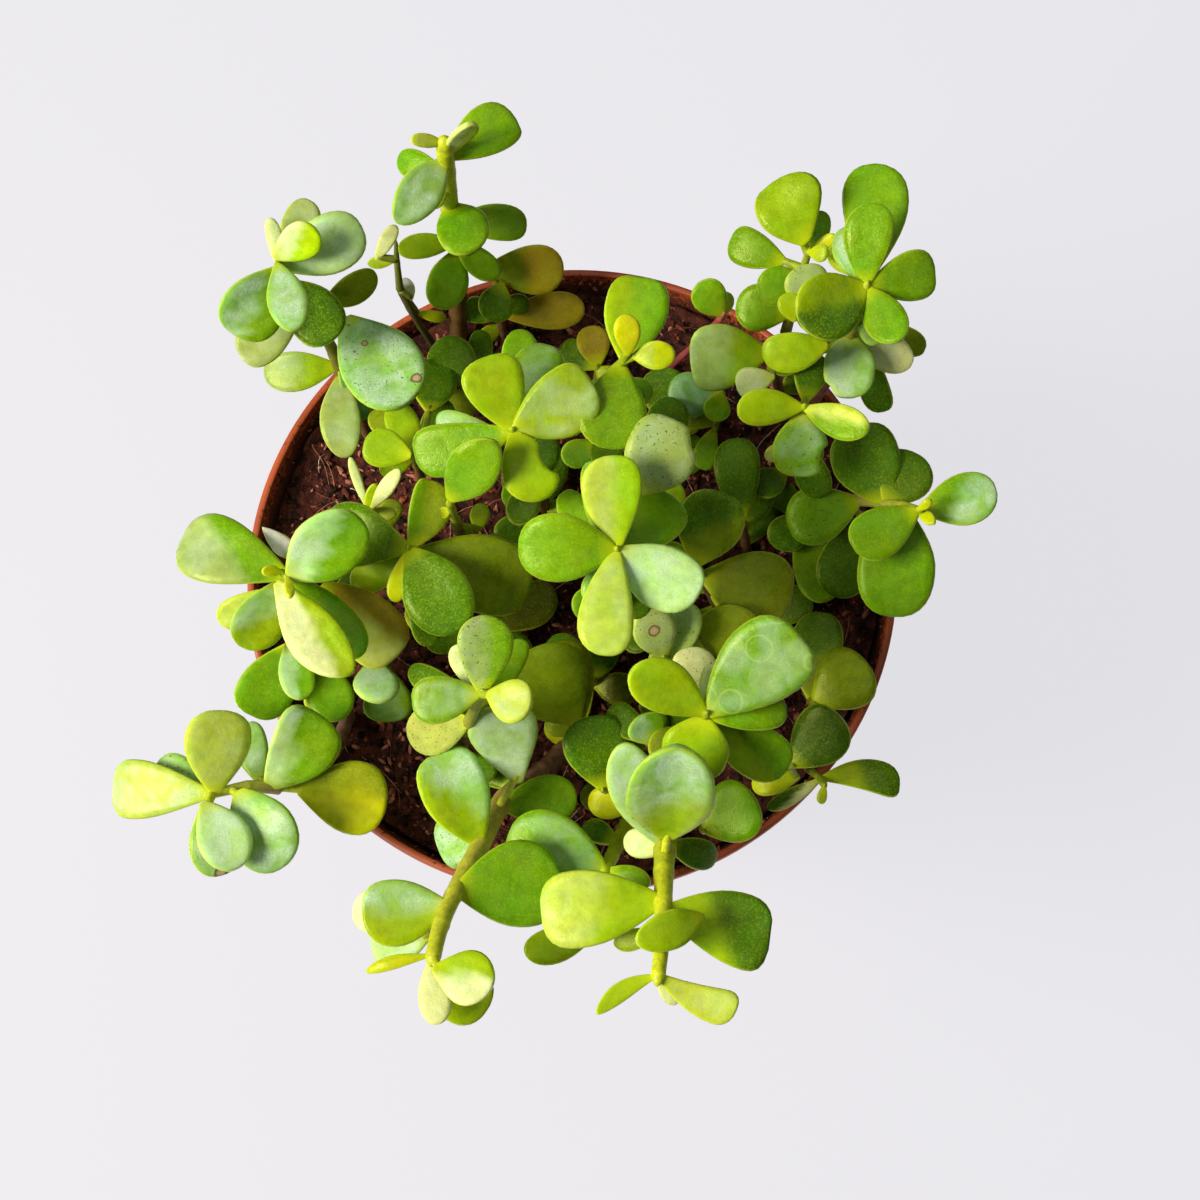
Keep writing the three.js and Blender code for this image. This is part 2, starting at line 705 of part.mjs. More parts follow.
// A closed geometry as a solid, with only its positions and with shared corners merged.
function solidOf(geometry) {
  const bare = geometry.clone();
  bare.deleteAttribute("normal");
  bare.deleteAttribute("uv");
  const merged = mergeVertices(bare, MERGE);
  const mesh = new wasm.Mesh({
    numProp: 3,
    vertProperties: merged.attributes.position.array,
    triVerts: new Uint32Array(merged.index.array),
  });
  return new wasm.Manifold(mesh);
}

// A solid as a geometry again.
function geometryOf(solid) {
  const mesh = solid.getMesh();
  const geometry = new THREE.BufferGeometry();
  geometry.setAttribute("position", new THREE.BufferAttribute(mesh.vertProperties, 3));
  geometry.setIndex(new THREE.BufferAttribute(mesh.triVerts, 1));
  geometry.computeVertexNormals();
  return geometry;
}

// The biggest of a solid's separate bodies, so that a clipped leaf leaves no loose crumbs.
function biggestBody(solid) {
  const bodies = solidOf(geometryOf(solid)).decompose();
  bodies.sort((a, b) => b.volume() - a.volume());
  return bodies[0];
}

function pieceOf(name, geometry, look) {
  const mesh = new THREE.Mesh(geometry, new THREE.MeshStandardMaterial(looks[look]));
  mesh.name = name;
  return mesh;
}

// A round solid turned about the Z axis from points of radius and height.
function turned(points, segments) {
  const profile = points.map(([radius, height]) => new THREE.Vector2(radius, height));
  const geometry = new THREE.LatheGeometry(profile, segments);
  return solidOf(geometry.rotateX(Math.PI / 2));
}

// The pot: tapered wall, a stepped collar under the lip, a flat floor with drain holes in a ring.
function potGeometry() {
  const collarFoot = POT_HEIGHT - COLLAR_HEIGHT;
  const body = turned(
    [
      [0, 0],
      [BASE_RADIUS, 0],
      [NECK_RADIUS, collarFoot - LEDGE],
      [COLLAR_FOOT_RADIUS, collarFoot],
      [RIM_RADIUS, POT_HEIGHT - LIP_DROP],
      [RIM_RADIUS - LIP_INSET, POT_HEIGHT],
      [RIM_RADIUS - WALL, POT_HEIGHT],
      [COLLAR_FOOT_RADIUS - WALL, collarFoot + 2 * LEDGE],
      [NECK_RADIUS - WALL, collarFoot + LEDGE],
      [BASE_RADIUS - WALL, FLOOR],
      [0, FLOOR],
    ],
    POT_SEGMENTS,
  );
  let pot = body;
  for (let i = 0; i < DRAIN_COUNT; i += 1) {
    const angle = (i / DRAIN_COUNT) * 2 * Math.PI;
    const hole = new THREE.CylinderGeometry(DRAIN_RADIUS, DRAIN_RADIUS, 4 * FLOOR, DRAIN_SEGMENTS);
    hole.rotateX(Math.PI / 2);
    hole.translate(DRAIN_CIRCLE * Math.cos(angle), DRAIN_CIRCLE * Math.sin(angle), 0);
    pot = pot.subtract(solidOf(hole));
  }
  return geometryOf(pot);
}

// The soil fills the pot to SOIL_HEIGHT, a gap inside its wall. It rises a little in the middle, and is
// banked up against the wall to SOIL_EDGE_HEIGHT.
function soilSolid() {
  const collarFoot = POT_HEIGHT - COLLAR_HEIGHT;
  const inset = WALL + GAP;
  const collarRise = (SOIL_EDGE_HEIGHT - collarFoot) / COLLAR_HEIGHT;
  const topRadius = COLLAR_FOOT_RADIUS + collarRise * (RIM_RADIUS - COLLAR_FOOT_RADIUS);
  return turned(
    [
      [0, FLOOR + GAP],
      [BASE_RADIUS - inset, FLOOR + GAP],
      [NECK_RADIUS - inset, collarFoot + LEDGE],
      [COLLAR_FOOT_RADIUS - inset - LEDGE_GAP, collarFoot + 2 * (LEDGE + LEDGE_GAP)],
      [topRadius - inset - LEDGE_GAP, SOIL_EDGE_HEIGHT],
      [SOIL_BANK_RADIUS, SOIL_HEIGHT],
      [SOIL_BANK_RADIUS * DOME_SHOULDER, SOIL_HEIGHT + SOIL_DOME * DOME_SHOULDER],
      [0, SOIL_HEIGHT + SOIL_DOME],
    ],
    POT_SEGMENTS,
  );
}

function pointsOf(rows) {
  return rows.map(([column, row, height]) => sighted(column, row, height));
}

// A stem through points, closed at both ends, its section a ring of a few sides.
function stemSolid(points, radius, sides, steps) {
  const section = new THREE.Shape();
  for (let i = 0; i < sides; i += 1) {
    const angle = (i / sides) * 2 * Math.PI;
    const corner = [radius * Math.cos(angle), radius * Math.sin(angle)];
    if (i === 0) {
      section.moveTo(...corner);
    } else {
      section.lineTo(...corner);
    }
  }
  const path = new THREE.CatmullRomCurve3(points);
  return solidOf(new THREE.ExtrudeGeometry(section, { steps, extrudePath: path }));
}

function stepsAlong(points) {
  return Math.max(2, Math.round(new THREE.CatmullRomCurve3(points).getLength() / STEM_STEP));
}

// The share of its full width that a leaf has at a share t of its length: a wedge, then a round end.
function leafOutline(t) {
  if (t < WIDEST_AT) {
    return FOOT_WIDTH + (1 - FOOT_WIDTH) * Math.sin(((t / WIDEST_AT) * Math.PI) / 2);
  }
  const beyond = (t - WIDEST_AT) / (1 - WIDEST_AT);
  return Math.sqrt(Math.max(0, 1 - beyond * beyond));
}

// The nearest point to a place on a stem, a little below its top so that a leaf's foot is inside it.
function nearestOn(points, place) {
  const top = points[points.length - 1];
  const spots = new THREE.CatmullRomCurve3(points).getPoints(PATH_STEPS);
  const inside = spots.filter((spot) => spot.distanceTo(top) > TOP_INSET);
  inside.sort((a, b) => a.distanceTo(place) - b.distanceTo(place));
  return inside[0];
}

// A leaf and its twig: a leaf whose foot is close to the stem grows straight from it.
function leafParts(points, row, extra) {
  const [footColumn, footRow, footHeight, tipColumn, tipRow, tipHeight, width, roll] = row;
  const foot = sighted(footColumn, footRow, footHeight);
  const tip = sighted(tipColumn, tipRow, tipHeight);
  const root = nearestOn(points, foot);
  if (root.distanceTo(foot) < TWIG_FROM) {
    return [leafSolid(root, tip, width, roll, extra)];
  }
  const end = foot.clone().lerp(tip, TWIG_OVERLAP);
  const twig = stemSolid([root, end], TWIG_RADIUS + extra, TWIG_SIDES, 1);
  return [leafSolid(foot, tip, width, roll, extra), twig];
}

// Two opposite leaves on a stem, from their height, the bearing of the first, their length and width.
function pairParts(points, row, extra) {
  const [height, bearing, length, width] = row;
  const spots = new THREE.CatmullRomCurve3(points).getPoints(PATH_STEPS);
  spots.sort((a, b) => Math.abs(a.z - height) - Math.abs(b.z - height));
  return [0, 180].map((turn) => {
    const angle = THREE.MathUtils.degToRad(bearing + turn);
    const reach = new THREE.Vector3(Math.cos(angle), Math.sin(angle), LOW_LEAF_RISE);
    const tip = spots[0].clone().addScaledVector(reach, length);
    return leafSolid(spots[0], tip, width, 0, extra);
  });
}

// A leaf: a ball drawn out from foot to tip, flattened, its face turned to the open sky.
function leafSolid(foot, tip, width, roll, extra) {
  const ahead = tip.clone().sub(foot);
  const length = ahead.length() + 2 * extra;
  ahead.normalize();
  const start = foot.clone().addScaledVector(ahead, -extra);
  const face = EYE.clone().sub(foot.clone().add(tip).multiplyScalar(0.5));
  face.addScaledVector(ahead, -face.dot(ahead)).normalize();
  face.applyAxisAngle(ahead, THREE.MathUtils.degToRad(roll));
  const aside = new THREE.Vector3().crossVectors(face, ahead);
  const thickness = LEAF_BODY + LEAF_PLUMPNESS * width;
  const geometry = new THREE.SphereGeometry(1, LEAF_SIDES, LEAF_RINGS);
  const corners = geometry.attributes.position;
  const corner = new THREE.Vector3();
  for (let i = 0; i < corners.count; i += 1) {
    corner.fromBufferAttribute(corners, i);
    const t = Math.sin(Math.acos(corner.y) / 2);
    const around = Math.hypot(corner.x, corner.z);
    const atEnd = around < MERGE;
    const fullness = leafOutline(t);
    const side = corner.z > 0 ? UPPER_SHARE : 1 - UPPER_SHARE;
    const halfWidth = (width / 2) * fullness + extra;
    const plumpness = END_PLUMPNESS + (1 - END_PLUMPNESS) * fullness;
    const halfThickness = thickness * side * plumpness + extra;
    const across = atEnd ? 0 : (corner.x / around) * halfWidth;
    const up = atEnd ? 0 : (corner.z / around) * halfThickness;
    corner.copy(start).addScaledVector(ahead, t * length);
    corner.addScaledVector(aside, across).addScaledVector(face, up);
    corners.setXYZ(i, corner.x, corner.y, corner.z);
  }
  return solidOf(geometry);
}

// The green top of a shoot with its leaves and twigs as one body, each grown by extra.
// Its lower end stops a gap short of a bare woody stem, or runs on down into the soil.
function sprigSolid(name, extra) {
  const shoot = SHOOTS[name];
  const points = pointsOf(shoot.green);
  const outward = points[0].clone().sub(points[1]).normalize();
  const start = points[0].clone();
  const parts = [];
  if (BARE_STEMS.has(name)) {
    start.addScaledVector(outward, extra - GAP);
  } else {
    parts.push(woodySolid(shoot, extra));
  }
  const radius = shoot.thickness * GREEN_SHARE + extra;
  parts.push(stemSolid([start, ...points.slice(1)], radius, STEM_SIDES, stepsAlong(points)));
  for (const leaf of shoot.leaves) {
    parts.push(...leafParts(points, leaf, extra));
  }
  for (const pair of shoot.pairs ?? []) {
    parts.push(...pairParts(pointsOf(shoot.woody), pair, extra));
  }
  return wasm.Manifold.union(parts);
}

function woodySolid(shoot, extra) {
  const points = pointsOf(shoot.woody);
  return stemSolid(points, shoot.thickness / 2 + extra, STEM_SIDES, stepsAlong(points));
}

function lessAll(solid, others) {
  return others.reduce((rest, other) => rest.subtract(other), solid);
}

const plant = new THREE.Group();
plant.add(pieceOf("pot", potGeometry(), "pot"));

// Bare stems first. Each cutting stands in the soil, in a hole a gap wider than its stem.
const taken = [];
let soil = soilSolid();
for (const [name, shoot] of Object.entries(SHOOTS)) {
  const grown = woodySolid(shoot, GAP);
  soil = soil.subtract(grown);
  if (BARE_STEMS.has(name)) {
    const stem = biggestBody(lessAll(woodySolid(shoot, 0), taken));
    plant.add(pieceOf("stem_" + name, geometryOf(stem), "bark"));
    taken.push(grown);
  }
}
plant.add(pieceOf("soil", geometryOf(soil), "soil"));

// Where two sprigs touch, the one listed later gives way by the gap.
for (const name of Object.keys(SHOOTS)) {
  const sprig = biggestBody(lessAll(sprigSolid(name, 0), taken));
  plant.add(pieceOf("sprig_" + name, geometryOf(sprig), "leaf"));
  taken.push(sprigSolid(name, GAP));
}

export default plant;
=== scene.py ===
"""A potted jade plant: small-leaved cuttings crowded in a round terracotta-coloured plastic pot."""

import math

import bpy
import numpy as np
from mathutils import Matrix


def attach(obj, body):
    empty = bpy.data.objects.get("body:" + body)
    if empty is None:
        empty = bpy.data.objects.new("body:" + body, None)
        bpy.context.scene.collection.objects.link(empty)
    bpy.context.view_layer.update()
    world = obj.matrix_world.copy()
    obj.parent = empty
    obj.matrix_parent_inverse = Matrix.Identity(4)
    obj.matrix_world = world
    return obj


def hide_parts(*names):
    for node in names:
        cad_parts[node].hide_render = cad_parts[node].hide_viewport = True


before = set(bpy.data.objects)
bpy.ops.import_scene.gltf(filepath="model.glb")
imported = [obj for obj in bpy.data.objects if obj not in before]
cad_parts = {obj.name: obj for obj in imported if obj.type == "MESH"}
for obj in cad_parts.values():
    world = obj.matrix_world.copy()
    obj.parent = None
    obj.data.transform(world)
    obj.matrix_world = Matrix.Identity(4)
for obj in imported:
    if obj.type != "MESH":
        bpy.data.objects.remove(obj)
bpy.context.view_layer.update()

# The view.
# The plant is seen from above, a little in front of the pot, on a plain pale floor,
# in soft light from the left. Sizes in this file are in millimetres until a mesh is made.
MM = 0.001
EYE = np.array((14.0, -81.5, 386.0))
EYE_TURN = tuple(math.radians(angle) for angle in (14.807, 1.746, -0.294))
FOCAL = 1500
MIDDLE = 600
SENSOR_WIDTH = 36
FLOOR_COLOUR = "#ebeaef"
FLOOR_GLOW = 0.88
FLOOR_DROP = 0.1
FLOOR_REACH = 4000
FILL_COLOUR = "#f4f6f2"
FILL_STRENGTH = 0.09
LIGHTS_AIM = np.array((0, 0, 120))

camera = bpy.data.objects.new("camera", bpy.data.cameras.new("camera"))
bpy.context.scene.collection.objects.link(camera)
camera.location = EYE * MM
camera.rotation_euler = EYE_TURN
camera.data.sensor_fit = "HORIZONTAL"
camera.data.sensor_width = SENSOR_WIDTH
camera.data.lens = SENSOR_WIDTH * FOCAL / (2 * MIDDLE)
camera.data.clip_start = 0.01
bpy.context.scene.camera = camera
bpy.context.scene.view_settings.view_transform = "Standard"
bpy.context.view_layer.update()
EYE_AXES = np.array(camera.matrix_world.to_3x3())


def linear(colour):
    """An sRGB hex colour as linear red, green, blue and alpha.

    Each channel c becomes ((c + 0.055) / 1.055) to the power 2.4, or c / 12.92 near black.
    """
    channels = np.array([int(colour[i : i + 2], 16) / 255 for i in (1, 3, 5)])
    bright = ((channels + 0.055) / 1.055) ** 2.4
    return (*np.where(channels > 0.04045, bright, channels / 12.92), 1.0)


def add_node(tree, kind, inputs, **settings):
    """Adds one node with its settings, and sets each of its inputs to a value or links it to an output."""
    added = tree.nodes.new(kind)
    for name, value in settings.items():
        setattr(added, name, value)
    for name, value in inputs.items():
        if isinstance(value, bpy.types.NodeSocket):
            tree.links.new(value, added.inputs[name])
        else:
            added.inputs[name].default_value = value
    return added


def new_mesh(name, points, faces):
    """A smooth mesh from points in millimetres and arrays of quads or triangles that index them."""
    mesh = bpy.data.meshes.new(name)
    corners = np.concatenate([block.ravel() for block in faces])
    sizes = np.concatenate([np.full(len(block), block.shape[1]) for block in faces])
    mesh.vertices.add(len(points))
    mesh.vertices.foreach_set("co", (points * MM).astype(np.float32).ravel())
    mesh.loops.add(len(corners))
    mesh.loops.foreach_set("vertex_index", corners.astype(np.int32))
    mesh.polygons.add(len(sizes))
    mesh.polygons.foreach_set("loop_start", (np.cumsum(sizes) - sizes).astype(np.int32))
    mesh.polygons.foreach_set("use_smooth", np.ones(len(sizes), bool))
    mesh.update(calc_edges=True)
    mesh.validate()
    return mesh


def new_object(name, mesh, *materials):
    """The mesh as an object in the scene, at the origin, with its materials."""
    made = bpy.data.objects.new(name, mesh)
    bpy.context.scene.collection.objects.link(made)
    for material in materials:
        mesh.materials.append(material)
    return made


floor_paper = bpy.data.materials.new("matt_paper_sweep")
floor_paper.use_nodes = True
tree = floor_paper.node_tree
tree.nodes.clear()
diffuse = add_node(tree, "ShaderNodeBsdfDiffuse", {"Color": linear(FLOOR_COLOUR)})
glow = add_node(tree, "ShaderNodeEmission", {"Color": linear(FLOOR_COLOUR), "Strength": 1.0})
ray = add_node(tree, "ShaderNodeLightPath", {})
glow_share = add_node(
    tree, "ShaderNodeMath", {0: ray.outputs["Is Camera Ray"], 1: FLOOR_GLOW}, operation="MULTIPLY"
)
both = add_node(
    tree, "ShaderNodeMixShader", {0: glow_share.outputs[0], 1: diffuse.outputs[0], 2: glow.outputs[0]}
)
add_node(tree, "ShaderNodeOutputMaterial", {"Surface": both.outputs[0]})
floor_corners = np.array([(-1, -1), (1, -1), (1, 1), (-1, 1)]) * FLOOR_REACH
floor_points = np.column_stack((floor_corners, np.full(4, -FLOOR_DROP)))
floor = new_object("floor", new_mesh("floor", floor_points, [np.array([[0, 1, 2, 3]])]), floor_paper)

world = bpy.data.worlds.new("pale_studio")
bpy.context.scene.world = world
world.use_nodes = True
tree = world.node_tree
tree.nodes.clear()
seen = add_node(tree, "ShaderNodeBackground", {"Color": linear(FLOOR_COLOUR), "Strength": 1.0})
fill = add_node(tree, "ShaderNodeBackground", {"Color": linear(FILL_COLOUR), "Strength": FILL_STRENGTH})
ray = add_node(tree, "ShaderNodeLightPath", {})
sky = add_node(
    tree,
    "ShaderNodeMixShader",
    {0: ray.outputs["Is Camera Ray"], 1: fill.outputs[0], 2: seen.outputs[0]},
)
add_node(tree, "ShaderNodeOutputWorld", {"Surface": sky.outputs[0]})

# Each light is its place, the side of its square in millimetres, its power in watts and its colour.
LIGHTS = {
    "window": ((-600, -170, 680), 360, 10.8, "#fff8ea"),
    "ceiling": ((60, 160, 950), 700, 1.2, "#fbfdff"),
}
for light_name, (place, side, power, colour) in LIGHTS.items():
    lamp = bpy.data.lights.new(light_name, "AREA")
    lamp.size = side * MM
    lamp.energy = power
    lamp.color = linear(colour)[:3]
    light = bpy.data.objects.new(light_name, lamp)
    bpy.context.scene.collection.objects.link(light)
    light.location = np.array(place) * MM
    aim = LIGHTS_AIM - np.array(place)
    tilt = math.acos(-aim[2] / np.linalg.norm(aim))
    light.rotation_euler = (tilt, 0, math.atan2(aim[1], aim[0]) - math.pi / 2)

# The pot.
# A round nursery pot moulded in terracotta-coloured polypropylene: a tapered wall, a stepped collar
# under a thin lip, and a flat floor with a ring of drain holes. New plastic, dusty with soil inside the lip.
POT_HEIGHT = 105
RIM_RADIUS = 63.5
BASE_RADIUS = 44
WALL = 1.5
FLOOR = 1.8
COLLAR_HEIGHT = 16
COLLAR_FOOT_RADIUS = 61.8
NECK_RADIUS = 58.6
POT_AROUND = 160
DRAIN_COUNT = 6
DRAIN_RADIUS = 4
DRAIN_CIRCLE = 31
DRAIN_AROUND = 32
CUTTER_FOOT = -2
CUTTER_TOP = 5
SHARP_EDGE = math.radians(35)
DUST_FOOT = 100
DUST_TOP = 104.8
POT_ORANGE = "#b9552a"
POT_SHADE = "#a34a24"
POT_DUST = "#331a12"


def closed_faces(rings, around):
    """Faces of rings of points with a pole at each end: point 0 is one pole, the last point the other."""
    here = np.arange(around)
    after = (here + 1) % around
    ring = 1 + np.arange(rings)[:, None] * around
    quads = np.stack(
        (ring[:-1] + here, ring[:-1] + after, ring[1:] + after, ring[1:] + here), axis=-1
    ).reshape(-1, 4)
    first = np.column_stack((np.zeros(around, int), 1 + after, 1 + here))
    last_ring = 1 + (rings - 1) * around
    pole = np.full(around, 1 + rings * around)
    last = np.column_stack((pole, last_ring + here, last_ring + after))
    return [quads, np.concatenate((first, last))]


def even_angles(count):
    """Angles that divide a circle evenly, from 0."""
    return np.arange(count) / count * 2 * math.pi


def about_axis(radius, angle, height):
    """Points about the upright axis, for whole arrays at once: x = r cos a, y = r sin a, z = h."""
    return np.stack(np.broadcast_arrays(radius * np.cos(angle), radius * np.sin(angle), height), axis=-1)


def turned(profile, around):
    """A profile of radii and heights, from axis to axis, carried round the axis as rings."""
    radius, height = np.array(profile, float).T[..., None]
    rings = about_axis(radius[1:-1], even_angles(around), height[1:-1])
    points = np.concatenate(([(0, 0, height[0, 0])], rings.reshape(-1, 3), [(0, 0, height[-1, 0])]))
    return points, closed_faces(len(profile) - 2, around)


def new_material(name):
    """A material with its node tree, its surface node, and where each point of it lies on the object."""
    material = bpy.data.materials.new(name)
    material.use_nodes = True
    tree = material.node_tree
    place = add_node(tree, "ShaderNodeTexCoord", {}).outputs["Object"]
    return material, tree, tree.nodes["Principled BSDF"], place


COLLAR_FOOT = POT_HEIGHT - COLLAR_HEIGHT
pot_points, pot_faces = turned(
    [
        (0, 0),
        (BASE_RADIUS - 0.8, 0),
        (BASE_RADIUS - 0.2, 0.25),
        (BASE_RADIUS, 0.8),
        (BASE_RADIUS + 0.5 * (NECK_RADIUS - BASE_RADIUS), 0.5 * COLLAR_FOOT),
        (NECK_RADIUS - 0.1, COLLAR_FOOT - 1.4),
        (NECK_RADIUS + 0.3, COLLAR_FOOT - 0.9),
        (COLLAR_FOOT_RADIUS - 0.5, COLLAR_FOOT - 0.15),
        (COLLAR_FOOT_RADIUS - 0.1, COLLAR_FOOT + 0.1),
        (COLLAR_FOOT_RADIUS, COLLAR_FOOT + 0.5),
        (RIM_RADIUS - 0.2, POT_HEIGHT - 3.2),
        (RIM_RADIUS, POT_HEIGHT - 2.6),
        (RIM_RADIUS, POT_HEIGHT - 0.6),
        (RIM_RADIUS - 0.15, POT_HEIGHT - 0.2),
        (RIM_RADIUS - 0.5, POT_HEIGHT),
        (RIM_RADIUS - WALL + 0.4, POT_HEIGHT),
        (RIM_RADIUS - WALL + 0.1, POT_HEIGHT - 0.2),
        (RIM_RADIUS - WALL, POT_HEIGHT - 0.6),
        (COLLAR_FOOT_RADIUS - WALL, COLLAR_FOOT + 2),
        (NECK_RADIUS - WALL, COLLAR_FOOT + 1),
        (BASE_RADIUS - WALL, FLOOR + 0.4),
        (BASE_RADIUS - WALL - 0.5, FLOOR),
        (0, FLOOR),
    ],
    POT_AROUND,
)

# Polypropylene: a satin, slightly waxy moulded skin, a little darker in patches. Soil has dried onto the
# inner side of the collar, thick at the soil and in specks up to the lip. The collar's wall has its middle
# at MIDDLE_WALL plus COLLAR_LEAN times the height: what lies nearer the axis is its inner side.
COLLAR_LEAN = 0.106
MIDDLE_WALL = 51.6
polypropylene, tree, skin, place = new_material("moulded_terracotta_polypropylene")
cloud = add_node(tree, "ShaderNodeTexNoise", {"Vector": place, "Scale": 1 / (14 * MM), "Detail": 4.0})
cloudy = add_node(tree, "ShaderNodeMapRange", {"Value": cloud.outputs[0], 1: 0.35, 2: 0.65})
tint = add_node(
    tree,
    "ShaderNodeMix",
    {0: cloudy.outputs[0], 6: linear(POT_ORANGE), 7: linear(POT_SHADE)},
    data_type="RGBA",
)
dust_grain = add_node(tree, "ShaderNodeTexNoise", {"Vector": place, "Scale": 1 / (0.9 * MM), "Detail": 5.0})
height = add_node(tree, "ShaderNodeSeparateXYZ", {0: place}).outputs["Z"]
below_lip = add_node(
    tree, "ShaderNodeMapRange", {"Value": height, 1: DUST_FOOT * MM, 2: DUST_TOP * MM, 3: 0.45, 4: 0.08}
)
flat = add_node(tree, "ShaderNodeVectorMath", {0: place, 1: (1, 1, 0)}, operation="MULTIPLY")
from_axis = add_node(tree, "ShaderNodeVectorMath", {0: flat.outputs[0]}, operation="LENGTH")
lean = add_node(
    tree, "ShaderNodeMath", {0: height, 1: COLLAR_LEAN, 2: MIDDLE_WALL * MM}, operation="MULTIPLY_ADD"
)
past_wall = add_node(
    tree, "ShaderNodeMath", {0: from_axis.outputs["Value"], 1: lean.outputs[0]}, operation="SUBTRACT"
)
inner_side = add_node(
    tree, "ShaderNodeMapRange", {"Value": past_wall.outputs[0], 1: -0.4 * MM, 2: 0.4 * MM, 3: 1.0, 4: 0.1}
)
inner_dust = add_node(
    tree, "ShaderNodeMath", {0: below_lip.outputs[0], 1: inner_side.outputs[0]}, operation="MULTIPLY"
)
in_collar = add_node(
    tree,
    "ShaderNodeMapRange",
    {"Value": height, 1: (COLLAR_FOOT + 0.5) * MM, 2: (COLLAR_FOOT + 2) * MM, 3: 0.0, 4: 1.0},
)
collar_dust = add_node(
    tree, "ShaderNodeMath", {0: inner_dust.outputs[0], 1: in_collar.outputs[0]}, operation="MULTIPLY"
)
dust_level = add_node(
    tree, "ShaderNodeMath", {0: dust_grain.outputs[0], 1: collar_dust.outputs[0]}, operation="ADD"
)
dust = add_node(
    tree, "ShaderNodeMapRange", {"Value": dust_level.outputs[0], 1: 0.66, 2: 0.76, 3: 0.0, 4: 0.8}
)
dusty = add_node(
    tree,
    "ShaderNodeMix",
    {0: dust.outputs[0], 6: tint.outputs[2], 7: linear(POT_DUST)},
    data_type="RGBA",
)
tree.links.new(dusty.outputs[2], skin.inputs["Base Color"])
dull = add_node(tree, "ShaderNodeMapRange", {"Value": dust.outputs[0], 3: 0.42, 4: 0.85})
tree.links.new(dull.outputs[0], skin.inputs["Roughness"])
skin.inputs["IOR"].default_value = 1.49
pebble = add_node(tree, "ShaderNodeTexNoise", {"Vector": place, "Scale": 1 / (0.5 * MM), "Detail": 2.0})
relief = add_node(
    tree, "ShaderNodeBump", {"Height": pebble.outputs[0], "Strength": 0.25, "Distance": 0.05 * MM}
)
tree.links.new(relief.outputs[0], skin.inputs["Normal"])

pot = new_object("nursery_pot", new_mesh("nursery_pot", pot_points, pot_faces), polypropylene)
cutter_points, cutter_faces = turned(
    [(0, CUTTER_FOOT), (DRAIN_RADIUS, CUTTER_FOOT), (DRAIN_RADIUS, CUTTER_TOP), (0, CUTTER_TOP)],
    DRAIN_AROUND,
)
for angle in even_angles(DRAIN_COUNT):
    shift = np.array((DRAIN_CIRCLE * math.cos(angle), DRAIN_CIRCLE * math.sin(angle), 0))
    cutter = new_object("cutter", new_mesh("cutter", cutter_points + shift, cutter_faces))
    cut = pot.modifiers.new("drain", "BOOLEAN")
    cut.operation = "DIFFERENCE"
    cut.object = cutter
    holed = bpy.data.meshes.new_from_object(pot.evaluated_get(bpy.context.evaluated_depsgraph_get()))
    pot.modifiers.clear()
    pot.data = holed
    bpy.data.objects.remove(cutter)
pot.data.set_sharp_from_angle(angle=SHARP_EDGE)
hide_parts("pot")
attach(pot, "root")

# The soil.
# Dark moist coir fills the pot to 9 mm below the lip and banks up against the wall: a loose fill with a
# crumbly top, and loose crumbs and pale and reddish coconut fibres on it.
SOIL_HEIGHT = 96
SOIL_DOME = 1.5
SOIL_GAP = 0.3
SOIL_AROUND = 300
SOIL_RINGS = 100
SOIL_TOP_RADIUS = 60.5
SOIL_EDGE_HEIGHT = 100
BANK_FROM = 46
CRUMBS = 5900
WALL_CRUMBS = 600
CRUMB_SIDES = 5
CRUMB_REST = 0.8
CRUMB_LEAST, CRUMB_MORE = 0.26, 0.62
WALL_CRUMB_LEAST, WALL_CRUMB_MORE = 0.14, 0.34
INNER_WALL_SLOPE = 0.127
FIBRES = 190
FIBRE_STEPS = 8
FIBRE_SIDES = 4
FIBRE_RADIUS = 0.11
SOIL_BROWN = "#55291e"
SOIL_BLACK = "#150b08"
SOIL_RED = "#8c4535"
FIBRE_COLOURS = ("#b5825f", "#7f4430", "#d9bd9c", "#5a2f20")
CRUMB_COLOURS = ("#3e1b13", "#5f2c20", "#8e4934", "#190c09", "#b0705a")
SOIL_SEED = 11

chance = np.random.default_rng(SOIL_SEED)


def lattice_noise(x, y, cell, seed):
    """Smooth noise from 0 to 1.

    Random values at the corners of square cells are blended across each cell by 3f^2 - 2f^3.
    """
    values = np.random.default_rng(seed).random((256, 256))
    column, row = np.floor(x / cell).astype(int), np.floor(y / cell).astype(int)
    across, down = x / cell - column, y / cell - row
    across, down = across**2 * (3 - 2 * across), down**2 * (3 - 2 * down)
    low = values[row % 256, column % 256] * (1 - across) + values[row % 256, (column + 1) % 256] * across
    high = values[(row + 1) % 256, column % 256] * (1 - across)
    high = high + values[(row + 1) % 256, (column + 1) % 256] * across
    return low * (1 - down) + high * down


def soil_level(x, y):
    """Height of the soil top.

    A low dome, a bank that rises against the wall as the square of the share of the way out, and lumps 9,
    3.5, 1.6 and 0.8 mm wide that stand 1.4 to 0.35 mm high.
    """
    dome = SOIL_DOME * (1 - (np.hypot(x, y) / SOIL_TOP_RADIUS) ** 2)
    lumps = 1.4 * lattice_noise(x, y, 9, 1) + 1.1 * np.abs(lattice_noise(x, y, 3.5, 2) - 0.5)
    grit = 0.9 * np.abs(lattice_noise(x, y, 1.6, 3) - 0.5) + 0.35 * lattice_noise(x, y, 0.8, 4)
    out = np.clip((np.hypot(x, y) - BANK_FROM) / (SOIL_TOP_RADIUS - BANK_FROM), 0, 1)
    bank = (SOIL_EDGE_HEIGHT - SOIL_HEIGHT) * out**2 * (0.7 + 0.6 * lattice_noise(x, y, 6, 5))
    return SOIL_HEIGHT - 0.9 + dome + lumps + grit + bank


